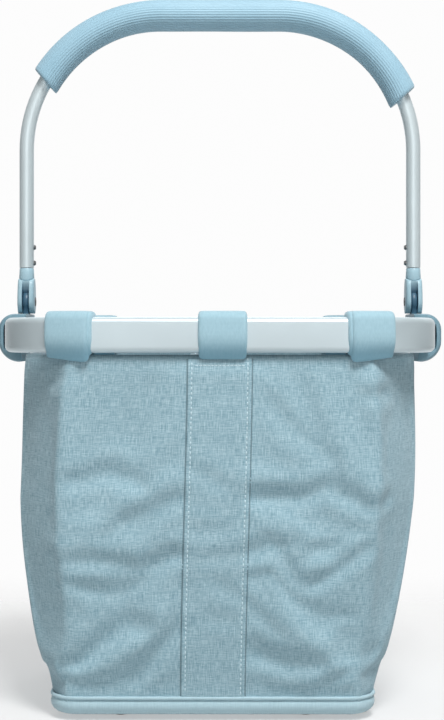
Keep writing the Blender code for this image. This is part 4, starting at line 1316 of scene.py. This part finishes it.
def strap_rows(path, half_width, thickness, columns, bow):
    """Rows across the strap; each row is its closed section at one place across the width."""
    count = len(path)
    rows = []
    normals = []
    for i in range(count):
        ahead = Vector(path[min(i + 1, count - 1)]) - Vector(path[max(i - 1, 0)])
        ahead.normalize()
        normals.append(Vector((ahead.y, -ahead.x)))
    for c in range(columns + 1):
        across = -1 + 2 * c / columns
        edge = sqrt(max(0.0, 1 - abs(across) ** 8))
        half = thickness / 2 * (0.35 + 0.65 * edge)
        shift = -bow * across**2
        outside = []
        inside = []
        for point, normal in zip(path, normals):
            middle_point = Vector(point)
            outside.append((across * half_width, *(middle_point - normal * (-half) + Vector((shift, 0)))))
            inside.append((across * half_width, *(middle_point - normal * half + Vector((shift, 0)))))
        rows.append(outside + inside[::-1])
    return rows


def place_strap(rows, place, turn, slant, drop_end, round_side=0):
    """Strap rows stood at place, facing turn.

    slant lowers the hanging ends towards one edge, and round_side says which edge has the rounder corner.
    """
    outward = Vector((sin(turn), -cos(turn), 0))
    across = Vector((cos(turn), sin(turn), 0))
    placed = []
    for row in rows:
        line = []
        for a, b, c in row:
            lower = slant * a / WEB_HALF_WIDTH * smooth_step((-c - 4 * MM) / (14 * MM))
            corner = 8 * MM if a * round_side > 0 else 2.5 * MM
            into = max(0.0, (abs(a) - WEB_HALF_WIDTH + corner) / corner)
            raised = corner * (1 - sqrt(max(0.0, 1 - into**2)))
            lower -= 0.8 * raised * smooth_step((-c - drop_end + 2 * corner) / (2 * corner))
            line.append(tuple(place + across * a + outward * b + Vector((0, 0, c - lower))))
        placed.append(line)
    return placed


def strap_mesh(name, rows):
    heights = [-WEB_HALF_WIDTH + 2 * WEB_HALF_WIDTH * i / (len(rows) - 1) for i in range(len(rows))]
    widths = run_lengths(rows[0], True)
    return grid_mesh(name, rows, closed=True, widths=widths, heights=heights, caps=("first", "last"), angle=50)


def finish_loop(name, mesh, material):
    loop = link_piece("webbing_" + name, mesh, material, "basket")
    finer = loop.modifiers.new("finer", "SUBSURF")
    finer.levels = 1
    finer.render_levels = 1
    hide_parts(name)
    return loop


def bag_reach(tree, centre, turn, drop):
    """How far out from a point the bag's cloth comes under a loop."""
    outward = Vector((sin(turn), -cos(turn), 0))
    across = Vector((cos(turn), sin(turn), 0))
    reaches = []
    for share in (-0.9, -0.45, 0, 0.45, 0.9):
        start = centre + across * (share * WEB_HALF_WIDTH) + outward * 0.3 - Vector((0, 0, drop))
        hit = tree.ray_cast(start, -outward)[0]
        if hit:
            reaches.append((hit - centre).dot(outward))
    return max(reaches)


def make_centre_loop(name, face, tree, material):
    outer = RIM_HALF_DEPTH + 0.35 * MM + WEB_THICK / 2
    inner = RIM_HALF_DEPTH - RIM_THICK - 0.35 * MM - WEB_THICK / 2
    place = RIM + Vector((-face * 2 * MM, 0, 0))
    turn = 0 if face < 0 else pi
    path = strap_path(outer, inner, 18.2 * MM, bag_reach(tree, RIM, turn, 18.2 * MM) + 1.4 * MM)
    rows = strap_rows(path, WEB_HALF_WIDTH, WEB_THICK, 14, 0)
    return finish_loop(name, strap_mesh(name, place_strap(rows, place, turn, 0, 18.2 * MM)), material)


def make_corner_loop(name, side, face, tree, material):
    """Two layers of webbing over the curved corner; they part a little at the edge nearer the middle."""
    corner = Vector((side * (RIM_HALF_WIDTH - RIM_CORNER), face * (RIM_HALF_DEPTH - RIM_CORNER), 0))
    centre = RIM + corner
    at = middle(name)
    turn = atan2(at.x - centre.x, -(at.y - centre.y))
    turn -= side * face * radians(1.6)
    inward = side * face  # +1 where the strap's own right edge is nearer the middle of the face
    outer = RIM_CORNER + 0.35 * MM + WEB_THICK / 2
    inner = sqrt((RIM_CORNER - RIM_THICK) ** 2 - WEB_HALF_WIDTH**2) - WEB_THICK
    reach = bag_reach(tree, centre, turn, 19 * MM)
    path = strap_path(outer, inner, 19.0 * MM, reach + 0.3 * MM)
    rows = strap_rows(path, CORNER_WEB_HALF_WIDTH, WEB_THICK, 14, 1.3 * MM)
    mesh = strap_mesh(name, place_strap(rows, centre, turn, inward * 2.4 * MM, 19 * MM, inward))
    under = strap_path(outer - 2.5 * MM, inner + 1.0 * MM, 15.5 * MM, reach - 1.8 * MM)
    rows = strap_rows(under, CORNER_WEB_HALF_WIDTH, WEB_THICK * 0.8, 14, 0.4 * MM)
    shifted = centre + Vector((cos(turn), sin(turn), 0)) * inward * 2.2 * MM
    layer = strap_mesh(name + "_under", place_strap(rows, shifted, turn, inward * 1.2 * MM, 15.5 * MM, inward))
    return finish_loop(name, joined(name, mesh, layer), material)


def joined(name, *meshes):
    """Several meshes as one."""
    shape = bmesh.new()
    for mesh in meshes:
        shape.from_mesh(mesh)
    both = bpy.data.meshes.new(name)
    shape.to_mesh(both)
    shape.free()
    smooth(both, 50)
    return both


def make_loops(tree, material):
    for end, face in FACES.items():
        make_centre_loop("rim_loop_" + end + "_centre", face, tree, material)
        for side_name, side in SIDES.items():
            make_corner_loop("rim_loop_" + end + "_" + side_name, side, face, tree, material)


# ---- base ---------------------------------------------------------------------------------------------------


def base_ring(grow, drop, samples=6):
    width, depth, crease, reach = bag_section(PIPING_DROP)
    outline = rounded_rectangle(width + grow, depth + grow, 19 * MM + grow, 10)
    return [(x + lean(BASE_DROP), RIM.y + y, RIM.z - drop) for x, y in outline]


def make_base(material):
    """The puffed band round the base, turned under it, and the cloth below."""
    start = PIPING_DROP + 1.0 * MM
    profile = [(-0.8, start), (0.2, start + 0.5 * MM), (1.2, start + 2.2 * MM), (1.7, start + 4.6 * MM)]
    profile += [(1.3, start + 7.0 * MM), (0.0, start + 9.4 * MM), (-2.4, start + 11.4 * MM)]
    profile += [(-5.6, start + 12.6 * MM), (-9.0, BASE_DROP + 0.2 * MM), (-14, BASE_DROP + 0.25 * MM)]
    rows = [base_ring(grow * MM, drop) for grow, drop in profile]
    centre = Vector((lean(BASE_DROP), RIM.y, RIM.z - BASE_DROP - 0.2 * MM))
    for share in (0.75, 0.5, 0.25, 0.04):
        rows.append([tuple(centre + (Vector(point) - centre) * share) for point in rows[len(profile) - 1]])
    rows = [[ripple(point) for point in row] for row in rows]
    lengths = [0.0]
    for first, second in zip(rows, rows[1:]):
        lengths.append(lengths[-1] + (Vector(first[0]) - Vector(second[0])).length)
    mesh = grid_mesh("base", rows, closed=True, widths=run_lengths(rows[3], True), heights=[-l for l in lengths], caps=("last",), angle=180)
    base = link_piece("base_cloth", mesh, material, "basket")
    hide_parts("base_band", "base_panel")
    return base


def ripple(point):
    """A sewn edge is never quite straight."""
    x, y, z = point
    shift = 0.5 * MM * noise.noise(Vector((x * 22, y * 22, 5.5)))
    return (x, y, z + shift)


def make_piping(material):
    width, depth, crease, reach = bag_section(PIPING_DROP)
    outline = rounded_rectangle(width + 0.7 * MM, depth + 0.7 * MM, 20.5 * MM, 12)
    path = [Vector(ripple((x + lean(BASE_DROP), RIM.y + y, RIM.z - PIPING_DROP))) for x, y in outline]
    path = with_middle_points(path + [path[0]], 6 * MM)[:-1]
    rows = []
    for i, point in enumerate(path):
        along = (path[(i + 1) % len(path)] - path[i - 1]).normalized()
        side = along.cross(Vector((0, 0, 1)))
        radius = 1.45 * MM
        ring = [(radius * cos(2 * pi * k / 12), radius * sin(2 * pi * k / 12)) for k in range(12)]
        rows.append([tuple(point + side * a + Vector((0, 0, b))) for a, b in ring])
    rows.append(rows[0])
    lengths = run_lengths([row[0] for row in rows], False)
    mesh = grid_mesh("piping", rows, closed=True, widths=[i * 0.76 * MM for i in range(13)], heights=lengths, angle=180)
    shape = bmesh.new()
    shape.from_mesh(mesh)
    bmesh.ops.remove_doubles(shape, verts=shape.verts, dist=0.001 * MM)
    bmesh.ops.recalc_face_normals(shape, faces=shape.faces)
    shape.to_mesh(mesh)
    shape.free()
    piping = link_piece("piping", mesh, material, "basket")
    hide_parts("base_piping")
    return piping


def make_board_cover(material):
    """The cloth-covered stiffener that lies inside on the base."""
    board = high("base_board")
    half_width, half_depth = board.x, board.y - RIM.y
    top, bottom = high("base_board").z, low("base_board").z
    profile = [(-6, bottom), (-0.5, bottom + 0.2 * MM), (0, bottom + 1.2 * MM), (-0.5, top + 0.1 * MM), (-3, top + 0.9 * MM), (-9, top + 1.2 * MM)]
    rows = []
    for grow, z in profile:
        outline = rounded_rectangle(half_width + grow * MM, half_depth + grow * MM, 20 * MM + grow * MM, 8)
        rows.append([(x + lean(BASE_DROP) * 0.6, RIM.y + y, z) for x, y in outline])
    centre = Vector((lean(BASE_DROP) * 0.6, RIM.y, top + 1.2 * MM))
    for share in (0.7, 0.4, 0.05):
        rows.append([tuple(centre + (Vector(point) - centre) * share) for point in rows[5]])
    lengths = [0.0]
    for first, second in zip(rows, rows[1:]):
        lengths.append(lengths[-1] + (Vector(first[0]) - Vector(second[0])).length)
    mesh = grid_mesh("board", rows, closed=True, widths=run_lengths(rows[2], True), heights=lengths, caps=("first", "last"), angle=60)
    cover = link_piece("covered_base_board", mesh, material, "basket")
    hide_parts("base_board")
    return cover


def make_feet(material):
    """Round moulded studs with a soft edge and a shallow dimple in the sole."""
    for end in FACES:
        for side in SIDES:
            node = "foot_" + end + "_" + side
            centre, top = middle(node), high(node).z
            profile = [(7.6, top + 0.4 * MM), (8.2, top - 0.6 * MM), (8.2, 1.6 * MM), (7.6, 0.5 * MM), (6.6, 0.02 * MM)]
            profile += [(3.6, 0.02 * MM), (2.8, 0.5 * MM), (0.4, 0.7 * MM)]
            rows = []
            for radius, z in profile:
                ring = [(radius * MM * cos(2 * pi * k / 36), radius * MM * sin(2 * pi * k / 36)) for k in range(36)]
                rows.append([(centre.x + lean(BASE_DROP) + a, centre.y + b, z) for a, b in ring])
            mesh = grid_mesh(node, rows, closed=True, caps=("first", "last"), angle=50)
            foot = link_piece("stud_" + end + "_" + side, mesh, material, "basket")
            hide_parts(node)


# ---- CAD pieces that keep their shape -----------------------------------------------------------------------


def paint(material, *names):
    for name in names:
        for slot in NODES[name].material_slots:
            slot.material = material


def paint_frame_parts():
    black = plastic_material("black_moulded_plastic", (0.022, 0.023, 0.025), 0.48, 0.08)
    plated = steel_material("zinc_plated_steel", (0.45, 0.45, 0.45), 0.35)
    dark = steel_material("blackened_steel", (0.09, 0.10, 0.11), 0.4)
    paint(black, "adapter_plate", "backing_plate")
    plated_names = [name for name in NODES if "_screw_" in name or "_nut_" in name or "rivet" in name]
    paint(plated, *plated_names)
    paint(dark, "pivot_pin_left", "pivot_pin_right")
    paint(aluminium_material("joiner_aluminium", (0.7, 0.72, 0.74), (60, 900, 60)), "rim_joiner")
    return black


def build():
    rim_metal = aluminium_material("rim_aluminium", (0.68, 0.79, 0.83), (60, 60, 2500), 0.35)
    bow_metal = aluminium_material("bow_aluminium", (0.81, 0.92, 0.95), (2500, 2500, 60), 0.4)
    cloth = cloth_material(
        "melange_weave", (0.200, 0.352, 0.430), (0.335, 0.510, 0.585), (0.485, 0.662, 0.730), 1.2
    )
    band_cloth = cloth_material(
        "band_weave", (0.200, 0.352, 0.430), (0.335, 0.510, 0.585), (0.485, 0.662, 0.730), 1.2,
        band_run(),
    )
    webbing = webbing_material()
    trim = trim_material()
    thread = thread_material()
    fork_plastic = fork_material()
    black = paint_frame_parts()
    make_rim(rim_metal)
    make_tube(bow_metal)
    make_grip(foam_material())
    hinge_plastic = hinge_material()
    for name, side in SIDES.items():
        make_fork(name, side, fork_plastic)
        make_hinge_block(name, side, hinge_plastic)
    bag = make_bag(cloth)
    tree = surface_of(bag)
    for end, face in FACES.items():
        band = make_band(end + "_band", face, tree, band_cloth)
        make_band_stitches(end + "_band", face, band, thread)
    make_loops(tree, webbing)
    make_base(trim)
    make_piping(trim)
    make_board_cover(cloth)
    make_feet(black)


make_camera()
make_studio()
make_floor()
build()
